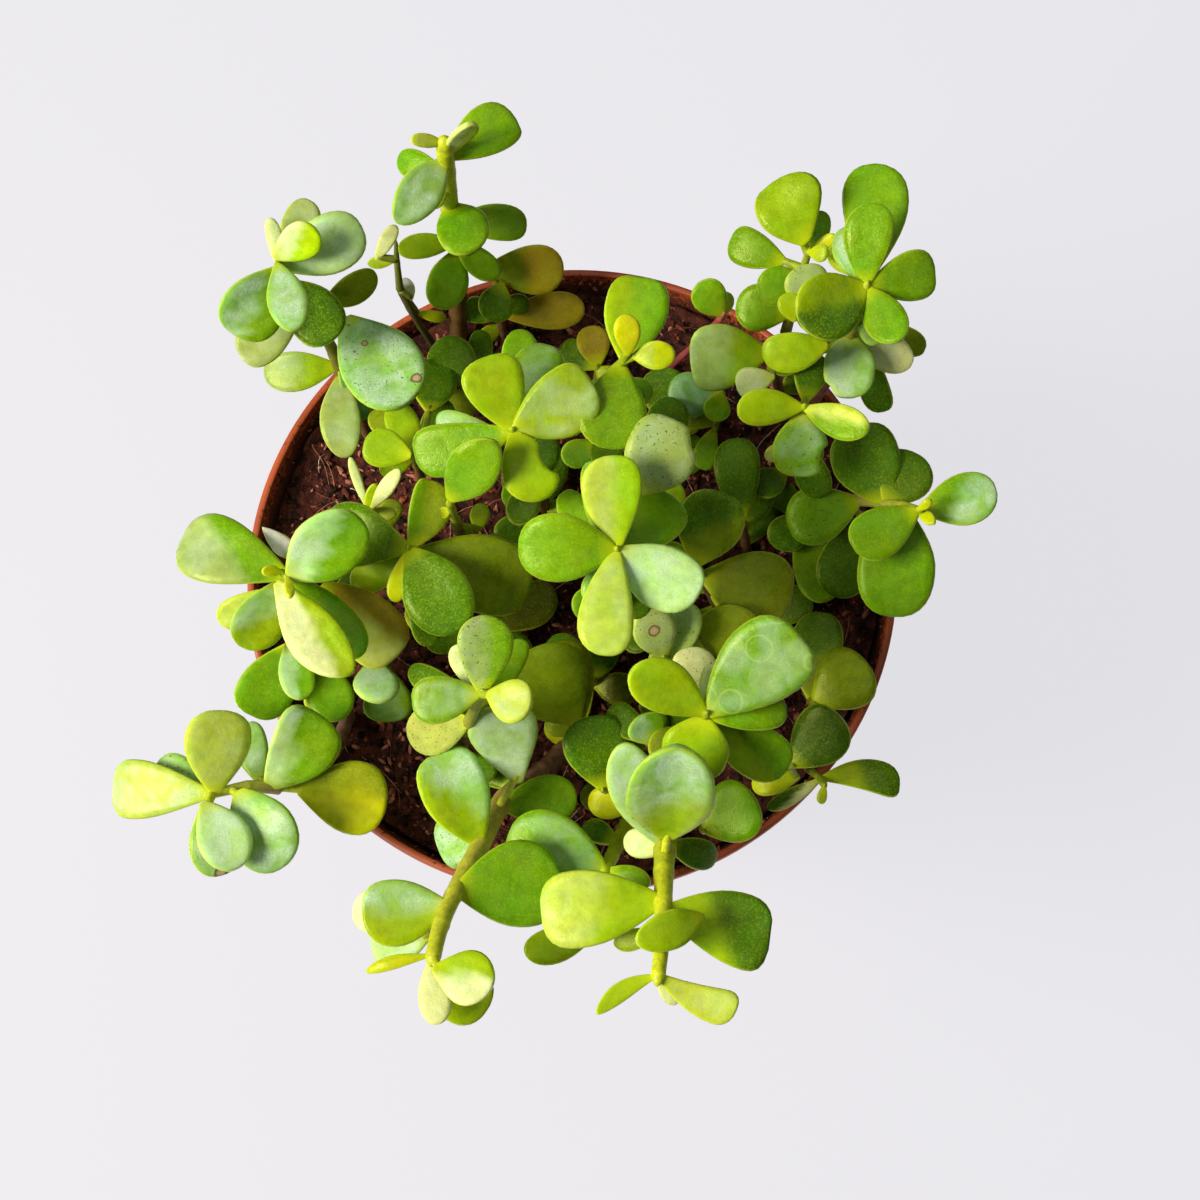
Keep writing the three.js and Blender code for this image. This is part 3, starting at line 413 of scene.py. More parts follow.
def on_soil(radius, angle):
    """Points on the soil top at a radius and an angle about its middle."""
    places = about_axis(radius, angle, 0)
    places[..., 2] = soil_level(places[..., 0], places[..., 1])
    return places


ring_radius = SOIL_TOP_RADIUS * np.linspace(1, 0, SOIL_RINGS + 1)[:-1]
top_rings = on_soil(ring_radius[:, None], even_angles(SOIL_AROUND))
inset = WALL + SOIL_GAP
side_profile = np.array(
    [
        (BASE_RADIUS - inset - 0.6, FLOOR + SOIL_GAP),
        (BASE_RADIUS - inset, FLOOR + SOIL_GAP + 0.6),
        (NECK_RADIUS - inset, COLLAR_FOOT + 1),
        (COLLAR_FOOT_RADIUS - inset - 0.2, COLLAR_FOOT + 2.4),
    ]
)
side_rings = about_axis(side_profile[:, :1], even_angles(SOIL_AROUND), side_profile[:, 1:])
soil_points = np.concatenate(
    (
        [(0, 0, FLOOR + SOIL_GAP)],
        side_rings.reshape(-1, 3),
        top_rings.reshape(-1, 3),
        [(0, 0, soil_level(np.zeros(1), np.zeros(1))[0])],
    )
)
soil_faces = closed_faces(len(side_profile) + SOIL_RINGS, SOIL_AROUND)

# Coir: dull, nearly black where damp, brown and reddish where fibres dry out. It has no shine.
coir, tree, skin, place = new_material("damp_coir")
clod = add_node(tree, "ShaderNodeTexNoise", {"Vector": place, "Scale": 1 / (2.2 * MM), "Detail": 6.0})
cloddy = add_node(tree, "ShaderNodeMapRange", {"Value": clod.outputs[0], 1: 0.38, 2: 0.62})
brown = add_node(
    tree,
    "ShaderNodeMix",
    {0: cloddy.outputs[0], 6: linear(SOIL_BLACK), 7: linear(SOIL_BROWN)},
    data_type="RGBA",
)
shred = add_node(
    tree, "ShaderNodeTexNoise", {"Vector": place, "Scale": 1 / (0.7 * MM), "Detail": 4.0, "Distortion": 1.2}
)
shredded = add_node(
    tree, "ShaderNodeMapRange", {"Value": shred.outputs[0], 1: 0.56, 2: 0.7, 3: 0.0, 4: 0.8}
)
reddish = add_node(
    tree,
    "ShaderNodeMix",
    {0: shredded.outputs[0], 6: brown.outputs[2], 7: linear(SOIL_RED)},
    data_type="RGBA",
)
tree.links.new(reddish.outputs[2], skin.inputs["Base Color"])
skin.inputs["Roughness"].default_value = 0.95
skin.inputs["IOR"].default_value = 1.35
grain = add_node(
    tree, "ShaderNodeBump", {"Height": shred.outputs[0], "Strength": 0.8, "Distance": 0.4 * MM}
)
tree.links.new(grain.outputs[0], skin.inputs["Normal"])

soil = new_object("coir_soil", new_mesh("coir_soil", soil_points, soil_faces), coir)
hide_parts("soil")
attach(soil, "root")

# Bits of coir: dry and dull, each one of a few browns, a little lighter or darker in patches.
coir_bits, tree, skin, place = new_material("dry_coir_bits")
own = add_node(tree, "ShaderNodeAttribute", {}, attribute_name="tone")
streak = add_node(tree, "ShaderNodeTexNoise", {"Vector": place, "Scale": 1 / (0.8 * MM), "Detail": 3.0})
streaky = add_node(
    tree, "ShaderNodeMapRange", {"Value": streak.outputs[0], 1: 0.3, 2: 0.7, 3: 0.55, 4: 1.35}
)
varied = add_node(
    tree, "ShaderNodeHueSaturation", {"Value": streaky.outputs[0], "Color": own.outputs["Color"]}
)
tree.links.new(varied.outputs[0], skin.inputs["Base Color"])
skin.inputs["Roughness"].default_value = 0.9
skin.inputs["IOR"].default_value = 1.35


def set_attribute(mesh, name, values):
    """Stores one number, vector or colour for each point of a mesh."""
    kinds = {1: ("FLOAT", "value"), 3: ("FLOAT_VECTOR", "vector"), 4: ("FLOAT_COLOR", "color")}
    kind, field = kinds[1 if values.ndim == 1 else values.shape[1]]
    stored = mesh.attributes.new(name, kind, "POINT")
    stored.data.foreach_set(field, values.astype(np.float32).ravel())


def scattered(count):
    """Places spread evenly over the soil top: the radius is the edge's times the root of a random share."""
    radius = (SOIL_TOP_RADIUS - 2) * np.sqrt(chance.random(count))
    return on_soil(radius, chance.random(count) * 2 * math.pi)


def many(points, faces):
    """Copies of one closed shape as one list of points, and their faces counted on from copy to copy."""
    copies, each = points.shape[:2]
    starts = (np.arange(copies) * each)[:, None, None]
    return points.reshape(-1, 3), [(starts + block).reshape(-1, block.shape[1]) for block in faces]


# A crumb is a ball of a few rings of points whose radius varies at every point, drawn out to as much as 3
# times its size in a direction of its own. The last WALL_CRUMBS of them stick to the wall.
crumb_down = np.array((0.25, 0.5, 0.75)) * math.pi
ball = about_axis(np.sin(crumb_down)[:, None], even_angles(CRUMB_SIDES), -np.cos(crumb_down)[:, None])
ball = np.concatenate(([(0, 0, -1)], ball.reshape(-1, 3), [(0, 0, 1)]))
wall_height = SOIL_EDGE_HEIGHT + 4.2 * chance.random(WALL_CRUMBS) ** 1.4
wall_angle = chance.random(WALL_CRUMBS) * 2 * math.pi
wall_radius = COLLAR_FOOT_RADIUS - WALL + INNER_WALL_SLOPE * (wall_height - COLLAR_FOOT - 2) - 0.1
on_wall = about_axis(wall_radius, wall_angle, wall_height)
crumb_places = np.concatenate((scattered(CRUMBS), on_wall))
crumb_count = len(crumb_places)
crumb_size = CRUMB_LEAST + CRUMB_MORE * chance.random(crumb_count) ** 2.4
crumb_size[CRUMBS:] = WALL_CRUMB_LEAST + WALL_CRUMB_MORE * chance.random(WALL_CRUMBS) ** 2
crumb_shape = 0.6 + 0.8 * chance.random((crumb_count, len(ball), 1))
crumb_long = chance.normal(size=(crumb_count, 3)) * (1, 1, 0.5)
crumb_long /= np.linalg.norm(crumb_long, axis=1, keepdims=True)
crumb_ball = ball * crumb_shape * CRUMB_REST
crumb_stretch = 2.2 * chance.random((crumb_count, 1, 1))
crumb_reach = (crumb_ball @ crumb_long[:, :, None]) * crumb_long[:, None] * crumb_stretch
crumb_points = crumb_places[:, None] + (crumb_ball + crumb_reach) * crumb_size[:, None, None]
points, faces = many(crumb_points, closed_faces(len(crumb_down), CRUMB_SIDES))
crumb_mesh = new_mesh("coir_crumbs", points, faces)
crumb_tones = np.array([linear(colour) for colour in CRUMB_COLOURS])
crumb_tones = crumb_tones[chance.integers(0, len(CRUMB_COLOURS), crumb_count)]
set_attribute(crumb_mesh, "tone", np.repeat(crumb_tones, len(ball), axis=0))
crumbs = new_object("coir_crumbs", crumb_mesh, coir_bits)
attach(crumbs, "root")


def tube(path, radii, around):
    """Points of a closed tube: a ring square to the path at each of its points, and a pole at each end."""
    ahead = np.gradient(path, axis=0)
    ahead /= np.linalg.norm(ahead, axis=1, keepdims=True)
    across = np.eye(3)[np.argmin(np.abs(ahead).mean(axis=0))]
    side = np.cross(across, ahead)
    side /= np.linalg.norm(side, axis=1, keepdims=True)
    up = np.cross(ahead, side)
    turn = even_angles(around)
    spread = np.cos(turn)[:, None] * side[:, None] + np.sin(turn)[:, None] * up[:, None]
    rings = path[:, None] + spread * np.asarray(radii)[:, None, None]
    return np.concatenate((path[:1], rings.reshape(-1, 3), path[-1:]))


# A fibre is a thin tube on an arc that rises from the soil and lies down again.
share = np.linspace(0, 1, FIBRE_STEPS)
fibre_points = []
for place, bearing, length, rise, bow in zip(
    scattered(FIBRES),
    chance.random(FIBRES) * 2 * math.pi,
    4 + 13 * chance.random(FIBRES),
    0.4 + 1.8 * chance.random(FIBRES) ** 2,
    0.35 * (chance.random(FIBRES) - 0.5),
):
    run = length * (share - 0.5)
    sway = length * bow * np.sin(math.pi * share)
    x = place[0] + run * math.cos(bearing) - sway * math.sin(bearing)
    y = place[1] + run * math.sin(bearing) + sway * math.cos(bearing)
    inside = np.minimum(1, (SOIL_TOP_RADIUS - 1) / np.maximum(np.hypot(x, y), 1))
    x, y = x * inside, y * inside
    path = np.column_stack((x, y, soil_level(x, y) + rise * np.sin(math.pi * share)))
    fibre_points.append(tube(path, FIBRE_RADIUS * (1 - 0.6 * share), FIBRE_SIDES))
points, faces = many(np.array(fibre_points), closed_faces(FIBRE_STEPS, FIBRE_SIDES))
fibre_mesh = new_mesh("coconut_fibres", points, faces)
fibre_tones = np.array([linear(colour) for colour in FIBRE_COLOURS])
fibre_tones = fibre_tones[chance.integers(0, len(FIBRE_COLOURS), FIBRES)]
set_attribute(fibre_mesh, "tone", np.repeat(fibre_tones, len(fibre_points[0]), axis=0))
fibres = new_object("coconut_fibres", fibre_mesh, coir_bits)
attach(fibres, "root")

# The bare stems.
# The woody feet of the longer cuttings stand bare in the soil: thin smooth bark, pinkish brown, ringed where
# old leaves fell. Columns and rows below are places in a picture taken from EYE, MIDDLE pixels from its
# centre to each edge, and a height above the table says where along the sightline the thing is.
TOP_INSET = 1.5
PATH_STEPS = 40
STEM_AROUND = 10
BARE_TAPER = 0.92
TWIG_RADIUS = 0.8
TWIG_TAPER = 0.8
TWIG_FROM = 3
TWIG_OVERLAP = 0.1
TWIG_STEPS = 6
STEM_END = 0.8
RING_SPACING = 6.5
RING_REACH = 0.55
RING_RISE = 0.1
RING_PALENESS = 0.25
BARE_STEMS = {
    "northwest_tall",
    "northwest_rosette",
    "southwest_low",
    "south_arm",
    "south_tip",
    "south_second",
    "east_arm",
    "northeast_tall",
    "northeast_back",
    "north_red",
}
BARK_SPOT = "#5e3a2a"
# The colour of a stem's bark and of its green top, where they aren't the usual ones. The green tops of
# northwest_tall and south_second are made paler to stand in for the light on them: painted light where the
# stems lie in shade.
USUAL_STEM = ("#75522f", "#9db01c")
STEM_COLOURS = {
    "northwest_tall": ("#6e5022", "#c0cc1c"),
    "southwest_low": ("#94705c", "#bac624"),
    "south_arm": ("#a5785c", "#b8c020"),
    "south_tip": ("#a39f22", "#c6d01e"),
    "south_second": ("#8f8c22", "#a6bc18"),
    "east_arm": ("#8f625c", "#a9b822"),
    "northeast_tall": ("#8c5a40", "#a8b826"),
    "north_thin": ("#4c4a1c", "#6f7a20"),
    "north_red": ("#8f3a3a", "#b06a58"),
}
# The radius of a green stem's top as a share of the shoot's thickness, where it is stouter than usual.
USUAL_TOP = 0.26
TOP_RADII = {"northwest_tall": 0.39, "south_arm": 0.32}

# Each shoot: its thickness, its woody foot and green top as columns, rows and heights, and its leaves. A leaf
# is the column, row and height of its foot, those of its tip, its width and its tone. A tone is the leaf's
# colour with some of its light or shade painted in: deep and moss ones are partly painted shade, cream, white
# and mint ones partly painted light, and some leaves that lie in shade carry a paler tone as painted light.
# Two tones with a slash are its left and right halves, with a dash its upper and lower ones: mostly a painted
# lit half and a painted shaded half, the light coming from the left. A star adds specks, a plus adds bloom
# with a painted sheen.
# A low pair is its height, the bearing of one leaf, their length and their width.
SHOOTS = {
    "northwest_tall": {
        "thickness": 3.8,
        "woody": [(458, 392, 84), (458, 330, 104), (458, 252, 124)],
        "green": [(458, 252, 124), (450, 210, 143), (446, 160, 160), (444, 137, 166)],
        "leaves": [
            (449, 158, 160, 521, 129, 160, 8.4, "leaf"),
            (441, 156, 161, 473, 124, 170, 4.5, "cream/pear"),
            (443, 138, 166, 411, 139, 167, 2.4, "pear"),
            (438, 162, 160, 396, 223, 158, 7.6, "frost"),
            (439, 163, 156, 398, 159, 154, 5, "leaf"),
            (443, 172, 154, 424, 204, 150, 4.5, "lime"),
            (458, 203, 145, 471, 253, 146, 10, "leaf"),
            (447, 212, 138, 527, 225, 136, 6.8, "leaf"),
            (454, 238, 128, 398, 250, 130, 4.8, "lime"),
            (455, 250, 126, 437, 308, 125, 7.6, "leaf"),
            (456, 242, 128, 499, 276, 124, 5.8, "leaf"),
        ],
    },
    "north_low": {
        "thickness": 2,
        "woody": [(508, 380, 84), (505, 345, 100), (500, 316, 107)],
        "green": [(500, 316, 107), (498, 290, 114)],
        "leaves": [
            (486, 268, 117, 564, 270, 116, 9.6, "olive/amber"),
            (502, 283, 118, 490, 321, 117, 7, "deep"),
            (500, 305, 110, 529, 303, 110, 4.4, "deep"),
            (512, 308, 107, 585, 309, 106, 7.6, "amber"),
            (503, 325, 104, 480, 342, 103, 3.6, "olive"),
            (494, 326, 106, 465, 306, 108, 5.6, "deep"),
        ],
    },
    "north_thin": {
        "thickness": 1.6,
        "woody": [(464, 398, 84), (436, 350, 100), (412, 312, 114), (400, 290, 119)],
        "green": [(400, 290, 119), (397, 262, 125), (396, 240, 130)],
        "leaves": [
            (376, 260, 126, 396, 226, 132, 3, "cream"),
            (394, 262, 126, 368, 264, 123, 2.4, "olive"),
            (412, 300, 117, 404, 278, 118, 3.4, "white"),
            (414, 312, 113, 446, 318, 109, 2.4, "yellow"),
        ],
    },
    "northwest_rosette": {
        "thickness": 2.6,
        "woody": [(380, 458, 84), (362, 420, 104), (342, 375, 118)],
        "green": [(342, 375, 118), (330, 345, 127), (300, 300, 140), (276, 262, 151)],
        "leaves": [
            (274, 258, 154, 318, 231, 157, 6.6, "cream/acid"),
            (290, 262, 150, 362, 226, 151, 10, "mint"),
            (283, 255, 146, 310, 200, 148, 6.5, "sage"),
            (274, 256, 150, 270, 218, 151, 3, "cream"),
            (273, 262, 150, 229, 332, 147, 10.5, "frost/leaf"),
            (277, 263, 153, 295, 331, 154, 6.8, "frost"),
            (292, 272, 145, 334, 340, 142, 10.5, "deep*"),
            (322, 305, 138, 376, 273, 137, 5.6, "olive"),
            (297, 322, 139, 240, 356, 137, 8, "sage"),
            (336, 370, 121, 264, 373, 119, 7.6, "sage/lime"),
            (345, 318, 133, 404, 406, 135, 15, "frost*"),
            (343, 374, 119, 345, 458, 117, 7.8, "sage"),
            (338, 365, 121, 366, 420, 116, 4.4, "teal"),
        ],
    },
    "west_rosette": {
        "thickness": 2.8,
        "woody": [(378, 655, 84), (352, 632, 108), (325, 606, 124)],
        "green": [(325, 606, 124), (300, 584, 137), (284, 573, 144)],
        "pairs": [(121, 40, 9, 6.5), (110, 130, 8, 6)],
        "leaves": [
            (280, 568, 142, 184, 536, 139, 12, "sage/leaf"),
            (298, 560, 139, 262, 527, 141, 3.6, "white"),
            (279, 582, 138, 243, 648, 134, 9, "frost-lime"),
            (272, 590, 133, 219, 622, 130, 6, "pear"),
            (277, 581, 147, 352, 674, 148, 8.8, "cream/lime"),
            (300, 586, 142, 362, 656, 140, 8, "leaf"),
            (322, 584, 136, 398, 656, 132, 11.5, "amber-pear"),
            (283, 572, 146, 262, 571, 148, 2, "yellow"),
            (286, 575, 147, 290, 597, 151, 1.7, "yellow"),
            (288, 577, 147, 362, 519, 150, 11.2, "mint/leaf"),
        ],
    },
    "west_low": {
        "thickness": 2.2,
        "woody": [(366, 684, 84), (346, 680, 102), (318, 672, 112)],
        "green": [(318, 672, 112), (288, 641, 127)],
        "pairs": [(107, 60, 7, 5.5)],
        "leaves": [
            (287, 641, 126, 252, 716, 121, 10.5, "leaf"),
            (288, 642, 129, 303, 699, 131, 6.2, "mint/leaf"),
            (318, 672, 117, 343, 719, 117, 8.6, "leaf"),
            (310, 668, 113, 316, 713, 107, 4, "yellow"),
        ],
    },
    "southwest_pale": {
        "thickness": 2,
        "woody": [(404, 700, 84), (400, 688, 100), (390, 672, 112)],
        "green": [(390, 672, 112), (372, 658, 124)],
        "leaves": [
            (370, 657, 125, 380, 702, 127, 8.2, "mint"),
            (392, 672, 113, 392, 722, 110, 9.5, "leaf+"),
        ],
    },
    "west_node": {
        "thickness": 2.4,
        "woody": [(435, 620, 84), (430, 598, 108), (418, 570, 126)],
        "green": [(418, 570, 126), (408, 546, 142)],
        "pairs": [(114, 80, 8.5, 6)],
        "leaves": [
            (406, 547, 142, 322, 528, 137, 10.8, "deep"),
            (409, 549, 137, 530, 590, 130, 13.6, "olive"),
            (410, 555, 142, 462, 630, 139, 11.6, "deep"),
            (404, 554, 141, 394, 602, 138, 3.8, "yellow"),
            (406, 556, 135, 352, 586, 130, 6, "lime"),
            (407, 543, 142, 429, 479, 142, 7.2, "leaf/olive"),
            (420, 572, 124, 430, 646, 120, 6, "deep"),
        ],
    },
    "west_sprout": {
        "thickness": 1.8,
        "woody": [(395, 565, 84), (386, 545, 104), (378, 530, 116)],
        "green": [(378, 530, 116), (368, 509, 129)],
        "pairs": [(113, 60, 7, 4.5)],
        "leaves": [
            (362, 508, 130, 350, 457, 133, 1.9, "cream"),
            (365, 509, 131, 376, 484, 134, 2.2, "lime"),
            (371, 509, 132, 400, 469, 137, 2.9, "cream"),
            (374, 512, 129, 396, 514, 127, 2.6, "pear"),
        ],
    },
    "southwest_low": {
        "thickness": 2.8,
        "woody": [(356, 716, 84), (347, 720, 99), (336, 748, 105), (318, 769, 111), (280, 787, 118)],
        "green": [(280, 787, 118), (245, 787, 122), (204, 796, 126)],
        "leaves": [
            (298, 789, 118, 387, 805, 117, 13, "olive-yellow"),
            (270, 784, 121, 306, 707, 125, 12, "mint/leaf"),
            (262, 785, 117, 250, 722, 115, 6, "frost"),
            (214, 787, 126, 217, 710, 130, 11.6, "pear"),
            (200, 798, 125, 114, 786, 121, 10.3, "pear+"),
            (206, 794, 122, 158, 762, 122, 7, "frost*"),
            (238, 790, 126, 280, 870, 124, 12.6, "frost"),
            (203, 802, 129, 238, 869, 129, 9, "mint"),
            (204, 804, 121, 221, 876, 118, 9.4, "frost*"),
        ],
    },
    "south_arm": {
        "thickness": 4,
        "woody": [(572, 735, 84), (564, 750, 100), (545, 768, 105), (522, 784, 110)],
        "green": [
            (522, 784, 110),
            (502, 802, 115),
            (483, 840, 123),
            (458, 886, 131),
            (441, 925, 136),
            (431, 966, 140),
        ],
        "leaves": [
            (512, 808, 116, 577, 796, 114, 9, "leaf"),
            (519, 782, 122, 499, 707, 138, 11.6, "mint"),
            (518, 784, 112, 476, 752, 109, 8, "deep"),
            (481, 836, 125, 440, 751, 129, 12, "frost-lime"),
            (478, 838, 120, 438, 846, 117, 9.4, "frost*"),
            (459, 889, 133, 562, 890, 128, 14.6, "leaf"),
            (446, 905, 134, 362, 906, 135, 11, "frost-lime"),
            (440, 920, 130, 353, 908, 127, 8, "cream"),
            (430, 935, 128, 372, 950, 126, 8, "mint"),
            (431, 964, 139, 366, 972, 138, 2.2, "yellow"),
            (433, 968, 142, 494, 984, 143, 8.4, "lime-cream"),
            (428, 972, 136, 486, 1012, 133, 10.5, "lime"),
            (430, 972, 140, 436, 1025, 140, 5.4, "cream"),
        ],
    },
    "south_tip": {
        "thickness": 4.2,
        "woody": [(674, 785, 84), (671, 806, 106), (666, 835, 124)],
        "green": [(666, 835, 124), (664, 865, 133), (663, 905, 139), (661, 950, 143), (657, 986, 146)],
        "leaves": [
            (667, 838, 134, 678, 748, 156, 14.2, "frost-lime"),
            (665, 842, 128, 622, 744, 143, 8.6, "mint"),
            (660, 903, 138, 541, 914, 136, 12.6, "pear/lime"),
            (667, 912, 139, 771, 931, 137, 12, "lime/deep"),
            (704, 916, 143, 636, 942, 147, 6.2, "lime"),
            (656, 982, 146, 596, 1014, 145, 3, "lime"),
            (660, 987, 147, 737, 1010, 145, 5.6, "pear"),
            (656, 988, 144, 676, 1004, 142, 2.4, "cream"),
            (662, 930, 134, 614, 944, 131, 3.6, "olive"),
            (667, 852, 126, 716, 858, 119, 5.5, "deep"),
            (664, 862, 129, 625, 838, 124, 5, "cream"),
        ],
    },
    "south_second": {
        "thickness": 3.8,
        "woody": [(650, 765, 84), (645, 785, 101), (641, 800, 106)],
        "green": [(641, 800, 106), (622, 835, 115), (603, 876, 125)],
        "leaves": [
            (602, 877, 126, 508, 834, 124, 10.8, "leaf+"),
            (598, 930, 122, 524, 952, 122, 6.2, "lime"),
            (604, 874, 123, 650, 884, 126, 4, "leaf"),
            (641, 802, 114, 588, 802, 113, 6, "yellow"),
            (614, 850, 116, 584, 826, 112, 4.5, "deep"),
        ],
    },
    "south_heart": {
        "thickness": 2,
        "woody": [(612, 760, 84), (610, 772, 104), (605, 788, 116)],
        "green": [(605, 788, 116), (603, 790, 120)],
        "pairs": [(107, 60, 7.5, 5.5)],
        "leaves": [
            (604, 790, 119, 590, 716, 122, 11.8, "deep"),
        ],
    },
    "centre_low": {
        "thickness": 2,
        "woody": [(640, 745, 84), (645, 740, 108), (650, 742, 120)],
        "green": [(650, 742, 120), (654, 744, 128)],
        "pairs": [(110, 30, 8, 6)],
        "leaves": [
            (654, 744, 128, 640, 716, 130, 7.5, "frost/leaf"),
            (650, 740, 121, 610, 707, 120, 5.5, "deep"),
        ],
    },
    "southeast_top": {
        "thickness": 2.8,
        "woody": [(690, 775, 84), (693, 752, 112), (700, 731, 132)],
        "green": [(700, 731, 132), (707, 712, 150)],
        "pairs": [(126, 20, 9, 6.5), (112, 100, 9, 6)],
        "leaves": [
            (711, 711, 151, 803, 638, 156, 13.4, "leaf+"),
            (716, 716, 147, 787, 712, 145, 7, "leaf"),
            (718, 728, 143, 789, 766, 138, 9, "lime/leaf"),
            (711, 706, 147, 713, 664, 147, 4.5, "cream"),
            (704, 712, 151, 631, 670, 155, 8.6, "lime"),
            (706, 703, 147, 692, 775, 142, 11.4, "lime"),
            (698, 714, 144, 686, 648, 144, 7.4, "cream*"),
        ],
    },
    "southeast_low": {
        "thickness": 2,
        "woody": [(695, 800, 84), (700, 815, 102), (704, 828, 116)],
        "green": [(704, 828, 116), (704, 832, 121)],
        "leaves": [
            (704, 832, 121, 757, 801, 124, 11.6, "leaf"),
        ],
    },
    "east_dark": {
        "thickness": 2.2,
        "woody": [(770, 735, 84), (778, 748, 104), (790, 764, 116)],
        "green": [(790, 764, 116), (793, 766, 120)],
        "leaves": [
            (793, 768, 121, 838, 714, 125, 10.8, "deep"),
            (800, 776, 113, 752, 786, 110, 4.8, "yellow"),
        ],
    },
    "east_olive": {
        "thickness": 2,
        "woody": [(800, 675, 84), (806, 690, 100), (812, 702, 108)],
        "green": [(812, 702, 108), (815, 704, 112)],
        "leaves": [
            (815, 704, 113, 868, 663, 114, 12, "olive"),
            (812, 700, 107, 822, 612, 108, 10, "deep-olive"),
        ],
    },
    "east_sprout": {
        "thickness": 1.8,
        "woody": [(784, 728, 84), (800, 754, 104), (808, 768, 110)],
        "green": [(808, 768, 110), (823, 781, 118)],
        "leaves": [
            (822, 783, 119, 768, 809, 114, 3, "deep/cream"),
            (825, 782, 119, 900, 785, 117, 6.2, "lime/deep"),
            (825, 784, 120, 821, 804, 119, 1.8, "olive"),
        ],
    },
    "east_arm": {
        "thickness": 2.4,
        "woody": [(780, 520, 84), (790, 508, 102), (838, 498, 118)],
        "green": [(838, 498, 118), (880, 503, 129), (905, 506, 134), (926, 512, 139)],
        "leaves": [
            (930, 511, 140, 996, 488, 139, 9, "leaf/frost"),
            (911, 506, 138, 852, 546, 137, 9, "leaf"),
            (908, 512, 132, 891, 617, 128, 13.6, "leaf"),
            (876, 502, 131, 862, 424, 134, 12.5, "deep"),
            (888, 500, 130, 923, 458, 130, 11, "deep"),
            (922, 511, 140, 934, 523, 142, 2.2, "yellow"),
            (918, 510, 141, 931, 500, 143, 1.7, "yellow"),
            (862, 505, 123, 789, 530, 121, 10.4, "leaf*"),
            (868, 512, 116, 834, 597, 112, 10.6, "deep"),
        ],
    },
    "northeast_tall": {
        "thickness": 3,
        "woody": [(771, 459, 84), (792, 428, 104), (822, 385, 124), (840, 352, 138)],
        "green": [(840, 352, 138), (856, 320, 148), (868, 281, 158)],
        "leaves": [
            (872, 272, 153, 868, 165, 154, 11.6, "leaf"),
            (870, 277, 159, 876, 203, 163, 8, "leaf"),
            (867, 275, 156, 843, 228, 157, 5.5, "frost/lime"),
            (875, 278, 157, 935, 276, 155, 8.2, "leaf"),
            (866, 283, 159, 799, 322, 158, 11.4, "lime-deep"),
            (877, 281, 159, 901, 340, 158, 7.2, "leaf"),
            (862, 276, 153, 832, 245, 152, 5, "lime"),
            (866, 300, 149, 876, 345, 148, 4.6, "frost"),
            (845, 338, 144, 845, 398, 142, 9.2, "mint/frost"),
            (840, 340, 143, 832, 372, 141, 3.6, "cream"),
            (862, 330, 143, 912, 364, 139, 7, "cream+"),
            (856, 325, 137, 925, 350, 134, 5, "olive"),
            (866, 332, 134, 884, 412, 128, 5.4, "deep"),
            (829, 345, 151, 762, 352, 150, 7, "lime"),
            (826, 350, 144, 775, 371, 141, 4, "deep"),
        ],
    },
    "northeast_back": {
        "thickness": 2.2,
        "woody": [(741, 429, 84), (762, 390, 104), (785, 335, 124)],
        "green": [(785, 335, 124), (797, 290, 138), (810, 247, 152)],
        "leaves": [
            (806, 245, 153, 763, 190, 155, 11.6, "lime"),
            (808, 243, 149, 824, 212, 149, 5, "leaf"),
            (786, 262, 145, 731, 238, 144, 7, "leaf"),
            (803, 262, 143, 759, 294, 142, 7.4, "leaf"),
            (814, 304, 145, 800, 266, 148, 7.6, "sage*"),
            (782, 322, 131, 736, 304, 130, 8.4, "leaf"),
            (795, 322, 144, 786, 293, 146, 4.4, "lime"),
            (808, 252, 155, 828, 252, 157, 3, "lime"),
            (812, 245, 152, 835, 235, 153, 2.2, "yellow"),
        ],
    },
    "north_red": {
        "thickness": 1.5,
        "woody": [(668, 384, 84), (672, 366, 99), (700, 340, 106), (720, 319, 112)],
        "green": [(720, 319, 112), (725, 312, 115)],
        "leaves": [
            (722, 316, 115, 699, 283, 119, 7, "leaf"),
            (725, 315, 112, 726, 292, 112, 4, "lime"),
        ],
    },
    "east_fork": {
        "thickness": 2.4,
        "woody": [(778, 505, 84), (786, 475, 110), (793, 448, 126)],
        "green": [(793, 448, 126), (805, 404, 146)],
        "pairs": [(113, 40, 8, 6)],
        "leaves": [
            (803, 403, 147, 737, 410, 146, 6.4, "lime"),
            (807, 404, 147, 869, 430, 149, 6, "pear-leaf"),
            (803, 407, 143, 800, 477, 140, 9.5, "leaf+*"),
            (805, 402, 140, 814, 353, 138, 6.5, "deep"),
            (800, 424, 131, 822, 497, 126, 6.6, "deep"),
            (795, 438, 129, 765, 458, 127, 3, "straw"),
        ],
    },
    "northeast_pale": {
        "thickness": 2,
        "woody": [(761, 444, 84), (779, 404, 106), (776, 372, 122)],
        "green": [(776, 372, 122), (768, 354, 130)],
        "pairs": [(112, 30, 7, 5)],
        "leaves": [
            (768, 353, 132, 690, 362, 132, 12, "sage/lime"),
            (775, 376, 133, 736, 386, 131, 5.6, "cream+"),
        ],
    },
    "east_blue": {
        "thickness": 1.8,
        "woody": [(712, 450, 84), (716, 425, 104), (720, 405, 114)],
        "green": [(720, 405, 114), (722, 390, 121)],
        "leaves": [
            (720, 388, 122, 668, 398, 120, 8.6, "teal"),
            (722, 392, 124, 712, 420, 124, 5, "leaf"),
            (715, 424, 116, 685, 410, 116, 5.8, "olive"),
            (715, 428, 112, 703, 470, 110, 4.6, "leaf"),
        ],
    },
    "east_deep": {
        "thickness": 2,
        "woody": [(750, 560, 84), (746, 545, 102), (742, 524, 112)],
        "green": [(742, 524, 112), (741, 518, 116)],
        "leaves": [
